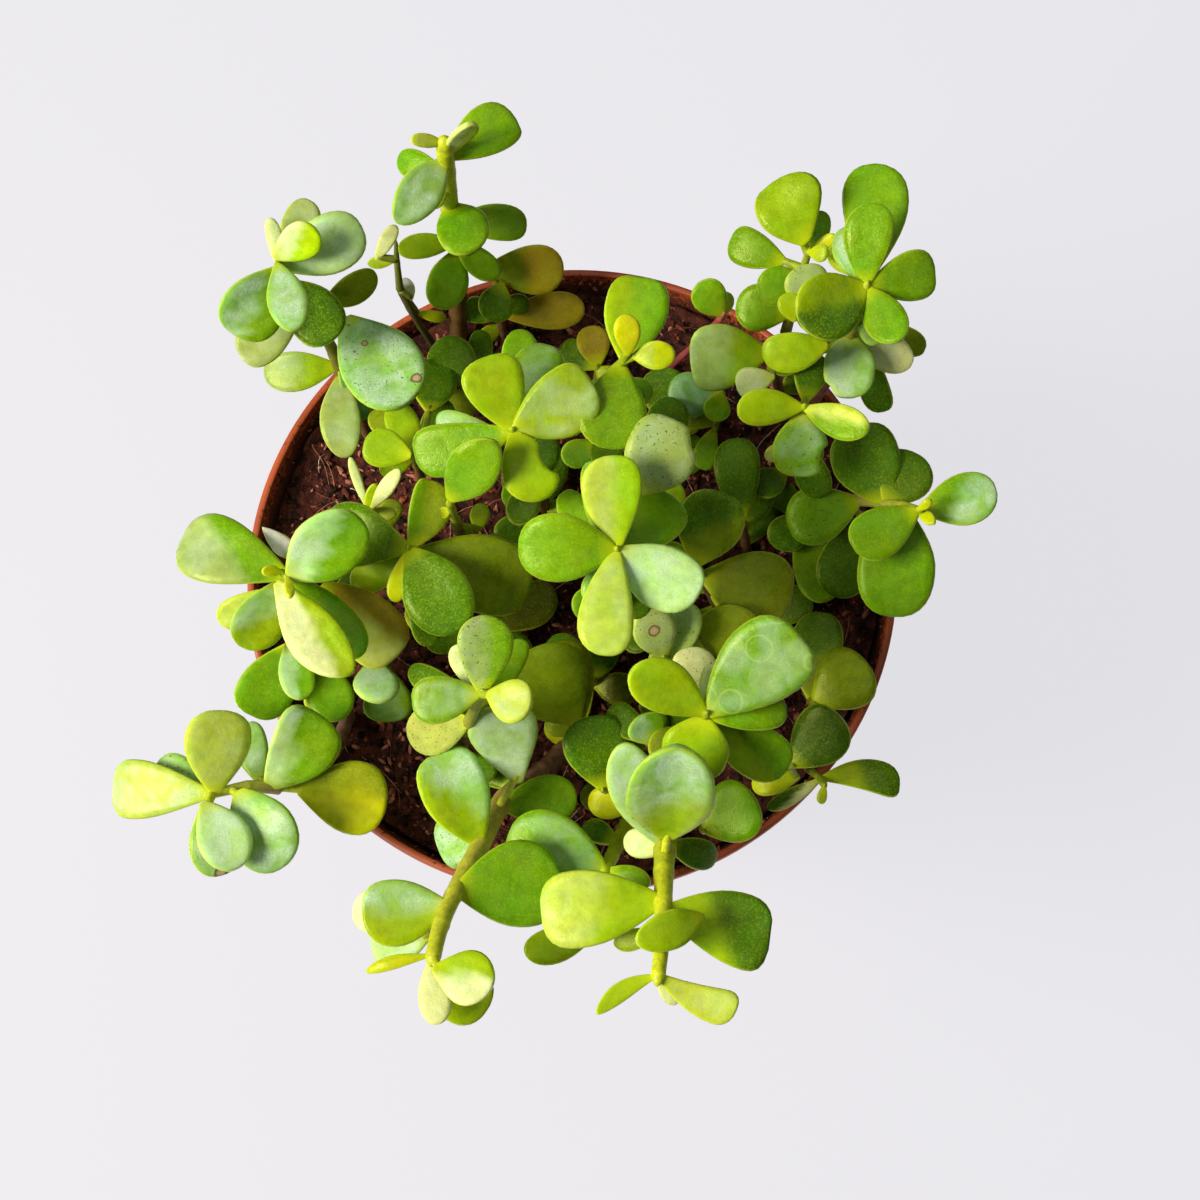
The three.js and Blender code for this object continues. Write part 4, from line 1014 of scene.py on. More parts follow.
            (740, 518, 117, 736, 438, 119, 9, "deep"),
            (745, 530, 108, 768, 480, 108, 6, "deep"),
            (745, 545, 102, 770, 502, 101, 6, "deep"),
        ],
    },
    "north_node": {
        "thickness": 2.4,
        "woody": [(598, 478, 84), (602, 435, 120), (609, 385, 147)],
        "green": [(609, 385, 147), (613, 373, 152), (627, 357, 161)],
        "pairs": [(138, 10, 8.5, 5.5), (124, 95, 9, 6), (111, 20, 8, 6)],
        "leaves": [
            (631, 352, 159, 639, 278, 157, 11, "lime/leaf"),
            (628, 356, 163, 626, 314, 167, 4.4, "yellow"),
            (632, 356, 162, 675, 354, 163, 4.7, "pear/yellow"),
            (621, 366, 157, 608, 449, 156, 11.2, "leaf"),
        ],
    },
    "middle_round": {
        "thickness": 2.4,
        "woody": [(660, 575, 84), (650, 545, 112), (640, 515, 132)],
        "green": [(640, 515, 132), (632, 492, 147)],
        "pairs": [(124, 60, 9, 6.5), (111, 150, 8, 6)],
        "leaves": [
            (640, 494, 157, 672, 418, 162, 11.6, "sage*"),
            (656, 464, 127, 672, 398, 122, 8, "deep"),
            (640, 512, 134, 682, 486, 137, 8, "lime"),
        ],
    },
    "middle_cross": {
        "thickness": 2.6,
        "woody": [(622, 645, 84), (621, 615, 118), (619, 580, 142)],
        "green": [(619, 580, 142), (617, 547, 162)],
        "pairs": [(136, 30, 9, 6), (122, 120, 9, 6.5), (110, 40, 8, 6)],
        "leaves": [
            (618, 542, 163, 613, 455, 166, 9.3, "pear/lime"),
            (612, 547, 162, 518, 548, 160, 11, "leaf"),
            (616, 550, 163, 606, 656, 161, 8.7, "pear"),
            (623, 543, 162, 700, 594, 159, 10.5, "mint"),
            (616, 560, 155, 592, 608, 153, 7, "frost"),
            (619, 562, 152, 642, 618, 149, 6.5, "deep"),
            (620, 548, 155, 676, 500, 151, 10, "leaf"),
            (613, 545, 154, 590, 461, 156, 6, "leaf+"),
            (612, 550, 152, 563, 492, 149, 5.6, "leaf"),
        ],
    },
    "north_pair": {
        "thickness": 2.6,
        "woody": [(560, 545, 84), (548, 512, 110), (524, 466, 138)],
        "green": [(524, 466, 138), (512, 428, 158)],
        "pairs": [(128, 70, 9, 6), (114, 160, 8.5, 6)],
        "leaves": [
            (513, 426, 159, 490, 355, 161, 10.2, "lime"),
            (509, 429, 159, 414, 453, 152, 9, "leaf"),
            (517, 424, 158, 590, 378, 160, 11, "lime+"),
            (515, 429, 158, 544, 500, 155, 9.2, "lime"),
            (517, 440, 150, 548, 345, 150, 9, "leaf+"),
            (520, 402, 135, 520, 330, 128, 7, "leaf"),
            (512, 432, 151, 437, 417, 145, 5, "frost"),
        ],
    },
    "middle_left": {
        "thickness": 2,
        "woody": [(478, 595, 84), (470, 565, 112), (458, 527, 134)],
        "green": [(458, 527, 134), (449, 502, 151)],
        "pairs": [(112, 30, 8.5, 6)],
        "leaves": [
            (449, 500, 153, 496, 442, 163, 8.2, "leaf"),
            (450, 506, 146, 441, 514, 143, 2, "moss"),
            (478, 531, 121, 482, 504, 120, 3.8, "olive"),
            (476, 540, 118, 456, 530, 117, 3.4, "deep"),
        ],
    },
    "north_leafy": {
        "thickness": 2,
        "woody": [(428, 510, 84), (424, 488, 106), (418, 466, 120)],
        "green": [(418, 466, 120), (413, 448, 133)],
        "leaves": [
            (412, 456, 134, 363, 447, 134, 7, "lime"),
            (415, 445, 129, 392, 405, 128, 6.4, "lime"),
            (408, 448, 127, 372, 412, 124, 5, "olive"),
            (420, 470, 127, 380, 472, 127, 4.2, "lime"),
            (425, 475, 116, 445, 400, 112, 7, "deep"),
            (429, 412, 117, 436, 360, 112, 9, "deep"),
        ],
    },
    "south_node": {
        "thickness": 2.6,
        "woody": [(455, 778, 84), (458, 760, 108), (466, 732, 130)],
        "green": [(466, 732, 130), (475, 708, 142), (483, 690, 151)],
        "pairs": [(124, 60, 9, 6), (111, 150, 8, 5.5)],
        "leaves": [
            (482, 686, 152, 486, 615, 153, 9, "sage/leaf*"),
            (480, 684, 147, 454, 646, 145, 4.6, "cream"),
            (479, 692, 151, 412, 702, 148, 7.8, "leaf+"),
            (487, 694, 153, 531, 708, 156, 7.2, "pear+"),
            (470, 716, 136, 410, 740, 127, 8.6, "straw*"),
            (481, 690, 144, 410, 668, 139, 5, "deep"),
            (492, 702, 136, 524, 640, 133, 5, "leaf"),
        ],
    },
    "south_olive": {
        "thickness": 2,
        "woody": [(598, 762, 84), (590, 745, 102), (578, 728, 112)],
        "green": [(578, 728, 112), (576, 721, 117)],
        "leaves": [
            (577, 722, 118, 520, 656, 122, 15, "olive"),
            (572, 730, 110, 560, 640, 113, 10, "olive"),
            (578, 732, 109, 546, 720, 108, 4.5, "olive"),
        ],
    },
    "east_pair": {
        "thickness": 2.2,
        "woody": [(726, 625, 84), (716, 603, 112), (704, 580, 130)],
        "green": [(704, 580, 130), (694, 562, 141)],
        "pairs": [(122, 150, 9, 6.5), (110, 60, 8, 6)],
        "leaves": [
            (694, 562, 142, 722, 492, 144, 11.4, "deep-olive"),
            (702, 586, 133, 793, 592, 131, 13.4, "olive"),
        ],
    },
    "southeast_olive": {
        "thickness": 2,
        "woody": [(726, 700, 84), (730, 685, 108), (734, 668, 124)],
        "green": [(734, 668, 124), (736, 660, 130)],
        "pairs": [(112, 20, 8, 6)],
        "leaves": [
            (736, 662, 131, 722, 606, 135, 11.5, "olive"),
            (734, 668, 124, 756, 622, 123, 6, "olive"),
        ],
    },
    "middle_scarred": {
        "thickness": 2,
        "woody": [(668, 700, 84), (667, 680, 116), (666, 665, 130)],
        "green": [(666, 665, 130), (664, 656, 138)],
        "pairs": [(114, 60, 8, 6)],
        "leaves": [
            (664, 656, 139, 646, 606, 143, 7.4, "sage*"),
            (667, 662, 134, 690, 602, 138, 7.4, "sage*"),
            (652, 702, 132, 690, 632, 134, 9.6, "lime-olive"),
        ],
    },
    "undergrowth": {
        "thickness": 2,
        "woody": [(530, 530, 84), (532, 522, 98)],
        "green": [(532, 522, 98), (534, 512, 104)],
        "leaves": [
            (533, 514, 103, 503, 548, 101, 9, "deep"),
            (536, 510, 104, 558, 455, 103, 8, "deep"),
            (533, 511, 104, 512, 462, 103, 8, "moss"),
            (536, 520, 101, 585, 560, 100, 7.5, "deep"),
        ],
    },
    "north_gap": {
        "thickness": 2,
        "woody": [(600, 395, 84), (598, 378, 100)],
        "green": [(598, 378, 100), (597, 364, 105)],
        "leaves": [
            (597, 363, 105, 590, 326, 105, 6.8, "amber"),
            (598, 368, 104, 626, 396, 103, 7, "deep"),
            (597, 366, 104, 562, 345, 103, 6, "deep"),
        ],
    },
    "north_shade": {
        "thickness": 2,
        "woody": [(496, 432, 84), (484, 404, 100)],
        "green": [(484, 404, 100), (478, 382, 112)],
        "leaves": [
            (477, 384, 111, 434, 344, 112, 9.6, "deep"),
            (480, 390, 108, 446, 412, 106, 6.5, "olive"),
            (482, 396, 105, 516, 376, 105, 7, "leaf"),
            (478, 380, 112, 480, 330, 110, 5, "deep"),
        ],
    },
    "middle_shade": {
        "thickness": 2,
        "woody": [(668, 455, 84), (667, 436, 100)],
        "green": [(667, 436, 100), (667, 420, 106)],
        "leaves": [
            (667, 421, 105, 662, 368, 107, 9, "deep"),
            (667, 423, 105, 698, 410, 107, 7, "olive"),
            (667, 430, 103, 700, 470, 102, 8, "deep"),
            (667, 428, 103, 636, 462, 102, 8, "deep"),
        ],
    },
    "west_shade": {
        "thickness": 2,
        "woody": [(470, 650, 84), (474, 634, 98)],
        "green": [(474, 634, 98), (476, 622, 106)],
        "leaves": [
            (477, 622, 105, 556, 592, 106, 9, "moss"),
            (475, 628, 102, 424, 640, 104, 7, "deep"),
            (476, 624, 104, 530, 664, 102, 8.5, "deep"),
        ],
    },
    "south_shade": {
        "thickness": 2,
        "woody": [(590, 705, 84), (592, 690, 98)],
        "green": [(592, 690, 98), (594, 678, 106)],
        "leaves": [
            (594, 679, 105, 604, 634, 107, 7, "deep"),
            (593, 684, 102, 638, 690, 104, 6.5, "moss"),
            (593, 682, 103, 548, 640, 105, 7.5, "deep"),
            (592, 688, 100, 552, 742, 99, 7, "olive-yellow"),
        ],
    },
    "east_middle": {
        "thickness": 2,
        "woody": [(798, 540, 84), (800, 524, 102)],
        "green": [(800, 524, 102), (802, 511, 108)],
        "leaves": [
            (801, 513, 107, 772, 545, 106, 7.6, "deep"),
            (802, 522, 102, 826, 602, 104, 9, "leaf"),
            (800, 516, 105, 766, 480, 104, 6, "leaf"),
        ],
    },
    "east_shade": {
        "thickness": 2,
        "woody": [(768, 652, 84), (770, 636, 98)],
        "green": [(770, 636, 98), (772, 624, 105)],
        "leaves": [
            (772, 625, 104, 744, 578, 104, 8, "deep"),
            (772, 627, 103, 806, 590, 103, 7, "deep"),
            (771, 634, 100, 800, 690, 101, 8.5, "deep"),
            (770, 632, 101, 722, 652, 100, 8, "deep"),
        ],
    },
}


def sighted(rows):
    """Points in space from rows of column, row and height: where that pixel's sightline is at that height."""
    rows = np.array(rows, float)
    rays = np.column_stack(((rows[:, :2] - MIDDLE) * (1, -1) / FOCAL, -np.ones(len(rows)))) @ EYE_AXES.T
    return EYE + rays * ((rows[:, 2] - EYE[2]) / rays[:, 2])[:, None]


def smooth_path(points, steps):
    """A curve through points: a cubic in each span, its slopes from the neighbours by root distance."""
    padded = np.vstack((2 * points[0] - points[1], points, 2 * points[-1] - points[-2]))
    gaps = np.sqrt(np.linalg.norm(np.diff(padded, axis=0), axis=1))
    at = np.linspace(0, len(points) - 1, steps + 1)
    span = np.minimum(at.astype(int), len(points) - 2)
    t = (at - span)[:, None]
    before, start, end, after = (padded[span + k] for k in range(4))
    gap_in, gap, gap_out = (gaps[span + k][:, None] for k in range(3))
    leaving = ((start - before) / gap_in - (end - before) / (gap_in + gap) + (end - start) / gap) * gap
    arriving = ((end - start) / gap - (after - start) / (gap + gap_out) + (after - end) / gap_out) * gap
    square = (3 * (end - start) - 2 * leaving - arriving) * t**2
    cube = (2 * (start - end) + leaving + arriving) * t**3
    return start + leaving * t + square + cube


def joined(parts):
    """Closed shapes as one: their points in a row, and each shape's faces counted on from those before it."""
    starts = np.cumsum([0] + [len(points) for points, _ in parts[:-1]])
    faces = [block + start for (_, blocks), start in zip(parts, starts) for block in blocks]
    return np.concatenate([points for points, _ in parts]), faces


def stem_part(path, radius_foot, radius_top, colours, wood, bud=0):
    """A stem along a path, its radius going evenly from foot to top.

    Where leaves were it has low pale rings, radius times 1 + a e^(-d^2) at d from the ring. Over its last
    bud millimetres it closes as the root of the distance left. Its colour goes from bark to green by the
    square root of the share of the length.
    """
    steps = np.linalg.norm(np.diff(path, axis=0), axis=1)
    length = np.concatenate(([0], np.cumsum(steps)))
    share = length / length[-1]
    off_ring = (length + 0.5 * RING_SPACING) % RING_SPACING - 0.5 * RING_SPACING
    ring = np.exp(-((off_ring / RING_REACH) ** 2))
    radius = (radius_foot + (radius_top - radius_foot) * share) * (1 + RING_RISE * ring)
    radius *= np.sqrt(np.clip((length[-1] - length) / bud, 0.1, 1)) if bud else 1
    radius[[0, -1]] *= STEM_END
    points = tube(path, radius, STEM_AROUND)
    foot, top = np.array(linear(colours[0])), np.array(linear(colours[1]))
    tone = foot + (top - foot) * np.sqrt(share)[:, None]
    tone[:, :3] *= 1 + RING_PALENESS * ring[:, None]
    spread = np.concatenate(([0], np.repeat(np.arange(len(path)), STEM_AROUND), [len(path) - 1]))
    shape = (points, closed_faces(len(path), STEM_AROUND))
    return shape, {"tone": tone[spread], "wood": (wood[0] + (wood[1] - wood[0]) * share)[spread]}


# Young jade bark: thin, satin, streaky and speckled, pinkish brown over green, with no deep cracks.
bark, tree, skin, place = new_material("thin_jade_bark")
own = add_node(tree, "ShaderNodeAttribute", {}, attribute_name="tone")
wood = add_node(tree, "ShaderNodeAttribute", {}, attribute_name="wood").outputs["Fac"]
streak = add_node(
    tree, "ShaderNodeTexNoise", {"Vector": place, "Scale": 1 / (0.9 * MM), "Detail": 5.0, "Distortion": 0.8}
)
streaky = add_node(
    tree, "ShaderNodeMapRange", {"Value": streak.outputs[0], 1: 0.3, 2: 0.7, 3: 0.75, 4: 1.2}
)
varied = add_node(
    tree, "ShaderNodeHueSaturation", {"Value": streaky.outputs[0], "Color": own.outputs["Color"]}
)
blotch = add_node(tree, "ShaderNodeTexNoise", {"Vector": place, "Scale": 1 / (2.4 * MM), "Detail": 4.0})
blotchy = add_node(
    tree, "ShaderNodeMapRange", {"Value": blotch.outputs[0], 1: 0.5, 2: 0.66, 3: 0.0, 4: 0.7}
)
brown_share = add_node(tree, "ShaderNodeMath", {0: blotchy.outputs[0], 1: wood}, operation="MULTIPLY")
browned = add_node(
    tree,
    "ShaderNodeMix",
    {0: brown_share.outputs[0], 6: varied.outputs[0], 7: linear(BARK_SPOT)},
    data_type="RGBA",
)
tree.links.new(browned.outputs[2], skin.inputs["Base Color"])
dryness = add_node(tree, "ShaderNodeMapRange", {"Value": wood, 3: 0.42, 4: 0.78})
tree.links.new(dryness.outputs[0], skin.inputs["Roughness"])
skin.inputs["IOR"].default_value = 1.45
wrinkle = add_node(
    tree, "ShaderNodeBump", {"Height": streak.outputs[0], "Strength": 0.5, "Distance": 0.12 * MM}
)
tree.links.new(wrinkle.outputs[0], skin.inputs["Normal"])

for name in sorted(BARE_STEMS):
    shoot = SHOOTS[name]
    radius = shoot["thickness"] / 2
    colours = STEM_COLOURS.get(name, USUAL_STEM)
    path = smooth_path(sighted(shoot["woody"]), PATH_STEPS)
    bark_only = (colours[0], colours[0])
    (points, faces), looks = stem_part(path, radius, BARE_TAPER * radius, bark_only, (1, 0.8))
    mesh = new_mesh("bark_" + name, points, faces)
    for attribute, values in looks.items():
        set_attribute(mesh, attribute, values)
    stem = new_object("bark_" + name, mesh, bark)
    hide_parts("stem_" + name)
    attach(stem, "root")

# The leafy shoots.
# Each cutting ends in a green top set with small fat spoon-shaped leaves in pairs: smooth waxy skin, folded
# a little along the middle, a thin pale margin with a painted edge highlight, a faint powdery bloom with a
# painted sheen on some. Each is one piece with its twigs.
WIDEST_AT = 0.62
FOOT_WIDTH = 0.15
LEAF_BODY = 0.9
LEAF_PLUMPNESS = 0.14
UPPER_SHARE = 0.4
LOW_LEAF_RISE = 0.25
LEAF_RINGS = 15
LEAF_AROUND = 16
FACE_SQUARENESS = 0.7
CREASE_SOFTNESS = 0.5
CREASE_DEPTH = 0.7
# Low pairs under the top leaves take mostly dark tones: painted shade.
UNSEEN_TONES = ("leaf", "deep", "deep", "olive")
SHOOT_SEED = 5
# Tones as leaves look in their light: deep and moss are partly painted shade, cream, white and mint partly
# painted light.
TONES = {
    "leaf": "#6d9e06",
    "lime": "#92b206",
    "acid": "#b4d606",
    "pear": "#b4c63e",
    "deep": "#487006",
    "olive": "#7f900a",
    "moss": "#5c600a",
    "frost": "#86ba48",
    "mint": "#b4dc80",
    "sage": "#9cb45a",
    "cream": "#e4ee9e",
    "white": "#f2f2e2",
    "straw": "#aab050",
    "amber": "#a68c18",
    "yellow": "#c2cc06",
    "teal": "#629e4a",
}
# How much bloom and painted sheen a leaf of a tone carries, where it is more than a trace.
BLOOM_AND_SHEEN_SHARES = {"frost": 0.75, "mint": 0.75, "teal": 0.5, "cream": 0.25, "sage": 0.3, "pear": 0.2}
TRACE = 0.02
PLUS_BLOOM_AND_SHEEN = 0.3
# Leaves whose shape is their own. "widest" is the share of the length where a leaf is widest, "square" the
# power of its round end, "lean" the share of its width that goes over to the left as one looks along it,
# "bend" how far its middle line swings left and "heart" how deep its end is notched, both as shares of the
# length, and "roll" the degrees it is turned about its own length.
OWN_SHAPES = {
    ("northwest_tall", 0): {"lean": 0.5, "square": 2.3},
    ("northwest_tall", 1): {"roll": 50},
    ("northwest_tall", 3): {"square": 1.8, "widest": 0.52},
    ("northwest_tall", 6): {"square": 2.2, "widest": 0.54},
    ("northwest_tall", 9): {"square": 2.5, "widest": 0.55},
    ("north_thin", 2): {"roll": 30},
    ("northwest_rosette", 10): {"square": 2.3, "widest": 0.56},
    ("northwest_rosette", 4): {"square": 2.4},
    ("west_rosette", 0): {"square": 2.4, "widest": 0.64, "lean": 0.1},
    ("west_rosette", 1): {"widest": 0.42, "square": 1.3},
    ("west_rosette", 9): {"widest": 0.5, "square": 2.4},
    ("west_rosette", 4): {"square": 1.9, "widest": 0.6, "lean": -0.2},
    ("west_rosette", 6): {"square": 2.8, "widest": 0.62},
    ("west_node", 0): {"square": 2.4, "widest": 0.62},
    ("west_node", 1): {"square": 2.8, "widest": 0.6, "lean": 0.1},
    ("west_node", 5): {"square": 2.6, "lean": -0.25, "bend": -0.05},
    ("southwest_low", 0): {"widest": 0.66, "square": 2.4},
    ("southwest_low", 1): {"square": 2.9, "lean": -0.35, "widest": 0.66},
    ("southwest_low", 4): {"widest": 0.8, "square": 2.4},
    ("southwest_low", 3): {"lean": -0.12, "square": 2.4},
    ("southwest_low", 6): {"lean": 0.15, "widest": 0.58, "roll": 18},
    ("south_arm", 1): {"square": 2.8, "widest": 0.74},
    ("south_arm", 3): {"square": 3.0, "widest": 0.68, "heart": 0.03, "lean": 0.05},
    ("south_arm", 5): {"lean": 0.1, "square": 2.3},
    ("south_arm", 6): {"lean": 0.15, "square": 2.4},
    ("south_second", 0): {"square": 2.5, "widest": 0.6, "bend": -0.06},
    ("south_tip", 0): {"square": 2.7, "widest": 0.55},
    ("south_tip", 2): {"square": 2.6, "widest": 0.68},
    ("south_tip", 4): {"square": 2.0, "widest": 0.5},
    ("south_tip", 3): {"square": 2.8, "widest": 0.74, "lean": -0.3, "bend": 0.06},
    ("south_tip", 6): {"square": 2.4, "widest": 0.8, "bend": -0.08},
    ("south_tip", 5): {"square": 1.7, "widest": 0.6, "bend": -0.08},
    ("south_heart", 0): {"square": 2.5, "widest": 0.62},
    ("southeast_top", 0): {"square": 2.9, "widest": 0.66, "lean": 0.08},
    ("southeast_top", 5): {"square": 2.8, "widest": 0.54},
    ("east_sprout", 1): {"square": 2.6, "widest": 0.76, "bend": 0.1},
    ("east_arm", 3): {"square": 2.6, "widest": 0.56, "lean": 0.2},
    ("east_arm", 4): {"square": 1.9, "widest": 0.58},
    ("east_arm", 2): {"square": 2.4},
    ("northeast_tall", 0): {"square": 2.1, "widest": 0.7},
    ("northeast_tall", 1): {"square": 2.3, "widest": 0.66},
    ("northeast_tall", 3): {"square": 2.8, "widest": 0.68, "lean": 0.15},
    ("northeast_tall", 4): {"square": 2.2, "widest": 0.56},
    ("northeast_tall", 8): {"square": 2.8, "widest": 0.5},
    ("northeast_tall", 12): {"square": 2.6, "widest": 0.75, "bend": -0.05},
    ("northeast_back", 0): {"square": 2.3, "lean": -0.35, "widest": 0.58},
    ("northeast_back", 2): {"widest": 0.7, "square": 2.5},
    ("northeast_pale", 0): {"square": 3.2, "widest": 0.66},
    ("north_pair", 0): {"square": 2.4, "widest": 0.7, "lean": 0.12},
    ("north_pair", 2): {"square": 3.0, "widest": 0.62, "lean": -0.1},
    ("north_pair", 1): {"widest": 0.74, "square": 2.4},
    ("middle_left", 0): {"square": 2.0, "widest": 0.56},
    ("middle_cross", 0): {"widest": 0.68, "square": 2.4},
    ("middle_cross", 2): {"widest": 0.7, "square": 2.4},
    ("middle_round", 0): {"square": 2.8, "widest": 0.5},
    ("north_node", 0): {"square": 2.7, "widest": 0.66},
    ("north_node", 3): {"square": 2.3, "widest": 0.66},
    ("east_fork", 2): {"square": 2.9, "widest": 0.62},
    ("east_pair", 0): {"square": 2.5},
    ("east_pair", 1): {"square": 2.5},
}
# Pale towards the rim: partly the leaf's own margin, partly a painted edge highlight.
PALE_MARGIN_AND_HIGHLIGHT = "#cfe048"
PALE_PORE = "#b8d21c"
PALE_FOOT = "#bccc14"
# A pale bluish white: a faint bloom with a painted reflection of the window.
BLOOM_AND_SHEEN = "#cfe8d0"
SPECK = "#2b2a12"
SCAR_PALE = "#b29a78"
SCAR_BROWN = "#6b4a30"
DRIED_DROP = "#bcd95a"
SHEEN = "#eaf59a"

chance = np.random.default_rng(SHOOT_SEED)


def nearest_on(points, place):
    """The point of a stem's path nearest a place, at least TOP_INSET below the stem's top."""
    spots = smooth_path(points, PATH_STEPS)
    spots = spots[np.linalg.norm(spots - points[-1], axis=1) > TOP_INSET]
    return spots[np.argmin(np.linalg.norm(spots - place, axis=1))]


def unit(vectors):
    """Vectors divided by their lengths."""
    return vectors / np.linalg.norm(vectors, axis=-1, keepdims=True)


def leaf_outline(t, widest, square):
    """Share of the full width at share t of the length: a quarter sine to the widest place, then a round end.

    The round end is a curve x^p + y^p = 1, an ellipse where the power is 2 and squarer above that.
    """
    wedge = FOOT_WIDTH + (1 - FOOT_WIDTH) * np.sin(np.minimum(t / widest, 1) * math.pi / 2)
    beyond = np.clip((t - widest) / (1 - widest), 0, 1)
    return np.where(t < widest, wedge, (1 - beyond**square) ** (1 / square))


def with_ends(grid, first, last):
    """A grid of values round and along a leaf as one row, with one value before it and one after it."""
    return np.concatenate(([first], grid.reshape(-1, *grid.shape[2:]), [last]))


def leaf_part(foot, tip, width, tone_words, own_shape, notch=None):
    """A leaf on a grid of share t along it and angle a round it.

    The middle line runs from foot to tip, and bows up and swings aside by 4t(1 - t). Square to it, the
    section is half width times cos a across and half thickness times sin a to a power below 1 up, so the
    faces are nearly flat and the rim is round. Both halves fold up by the tangent of the fold, and a slow
    wave runs round the rim.
    """
    shape = {
        "widest": chance.uniform(WIDEST_AT - 0.05, WIDEST_AT + 0.05),
        "square": chance.uniform(2.0, 2.5),
        "lean": chance.uniform(-0.1, 0.1),
        "bend": chance.uniform(-0.03, 0.03),
        "heart": 0,
        "roll": 0,
    }
    shape.update(own_shape)
    split = "-" if "-" in tone_words else "/"
    tones = tone_words.strip("*+").split(split)
    t = (1 - np.cos(np.arange(1, LEAF_RINGS + 1) / (LEAF_RINGS + 1) * math.pi)) / 2
    angle = even_angles(LEAF_AROUND)
    length = np.linalg.norm(tip - foot)
    ahead = (tip - foot) / length
    to_eye = EYE - (foot + tip) / 2
    face = unit(to_eye - np.dot(to_eye, ahead) * ahead)
    roll = math.radians(shape["roll"] + chance.uniform(-9, 9))
    face = face * math.cos(roll) + np.cross(ahead, face) * math.sin(roll)
    aside = np.cross(face, ahead)
    two_tone = len(tones) > 1
    fold = math.radians(chance.uniform(13, 20) if two_tone else chance.uniform(3, 12))
    bow = chance.uniform(-0.06, 0.08) * length
    wave, phase = chance.uniform(0, 0.05), chance.uniform(0, 2 * math.pi)
    fullness = leaf_outline(t, shape["widest"], shape["square"])[:, None]
    side = np.cos(angle)
    half_width = width / 2 * fullness * (1 + wave * np.sin(5 * t[:, None] + 2 * angle + phase))
    half_width = half_width * (1 + shape["lean"] * np.sign(side))
    if notch is not None:
        notch_side, notch_at, notch_reach, notch_depth = notch
        bite = notch_depth * np.exp(-(((t[:, None] - notch_at) / notch_reach) ** 4))
        half_width = half_width * (1 - bite * (side * notch_side > 0))
    thickness = LEAF_BODY + LEAF_PLUMPNESS * width
    upper = np.where(np.sin(angle) > 0, UPPER_SHARE, 1 - UPPER_SHARE)
    rise = np.sign(np.sin(angle)) * np.abs(np.sin(angle)) ** FACE_SQUARENESS
    across = half_width * side
    up = thickness * upper * (0.45 + 0.55 * fullness) * rise
    up = up + math.tan(fold) * (np.sqrt(across**2 + CREASE_SOFTNESS) - CREASE_DEPTH)
    up = up + 4 * bow * (t * (1 - t))[:, None]
    swing = 4 * shape["bend"] * length * (t * (1 - t))[:, None]
    reach = (t * length)[:, None] - shape["heart"] * length * t[:, None] ** 4 * (1 - np.abs(side)) ** 2
    rings = foot + reach[..., None] * ahead + (across + swing)[..., None] * aside + up[..., None] * face
    points = np.concatenate(([foot], rings.reshape(-1, 3), [tip - shape["heart"] * length * ahead]))
    # The two tones part the leaf into left and right halves, or upper and lower ones by the split: mostly a
    # painted lit half and a painted shaded half.
    toward = (0, -1) if split == "-" else (1, 0)
    beyond = side * fullness * (aside[:2] @ toward) * 2 + (2 * t[:, None] - 1) * (ahead[:2] @ toward)
    first = np.clip(0.5 - beyond / (0.3 if two_tone else 2), 0, 1)[..., None]
    tone_first, tone_second = (np.array(linear(TONES[tone])) for tone in (tones[0], tones[-1]))
    tone = tone_second + (tone_first - tone_second) * first
    tone[..., :3] *= chance.uniform(0.88, 1.1) * (1 + chance.uniform(-0.05, 0.05, 3))
    rim = (1 - np.abs(side)) * half_width
    looks = {
        "tone": with_ends(tone, tone[0, 0], tone[-1, 0]),
        "rim": with_ends(rim, 0, 0),
        "along": with_ends(np.repeat((t * length)[:, None], LEAF_AROUND, axis=1), 0, length),
        "across": with_ends(across, 0, 0),
        "first": with_ends(first[..., 0], first[0, 0, 0], first[-1, 0, 0]),
    }
    return (points, closed_faces(LEAF_RINGS, LEAF_AROUND)), looks


# Leaves that show damage. A notch is the side it is on, its share of the length, and its reach and depth as
# shares. A mark, a scab or a dried tip, is the shares of length and half width where it lies, and its radius.
NOTCHES = {
    ("north_pair", 3): (1, 0.55, 0.2, 0.45),
    ("east_fork", 2): (1, 0.7, 0.16, 0.3),
    ("middle_round", 0): (-1, 0.85, 0.12, 0.25),
    ("northeast_tall", 8): (-1, 0.9, 0.1, 0.3),
}
MARKS = {
    ("northwest_rosette", 10): [(0.84, 0.66, 1.3), (0.33, 0.1, 0.8)],
    ("middle_scarred", 0): [(0.55, 0.1, 1.1)],
    ("southwest_low", 8): [(0.97, 0.0, 1.5)],
}
# The one leaf with the pale rings of dried drops on it.
DROP_MARKED = ("southeast_top", 0)
# Farther than any mark or rim reaches, and the specks on a leaf without a star.
FAR = 9.0
FEW_SPECKS = 0.15


def all_points(parts, name, fallback):
    """One look of several parts, point by point, with a fallback for the parts that don't have it."""
    values = [
        looks[name] if name in looks else np.full((len(shape[0]), *np.shape(fallback)), fallback)
        for shape, looks in parts
    ]
    return np.concatenate(values)


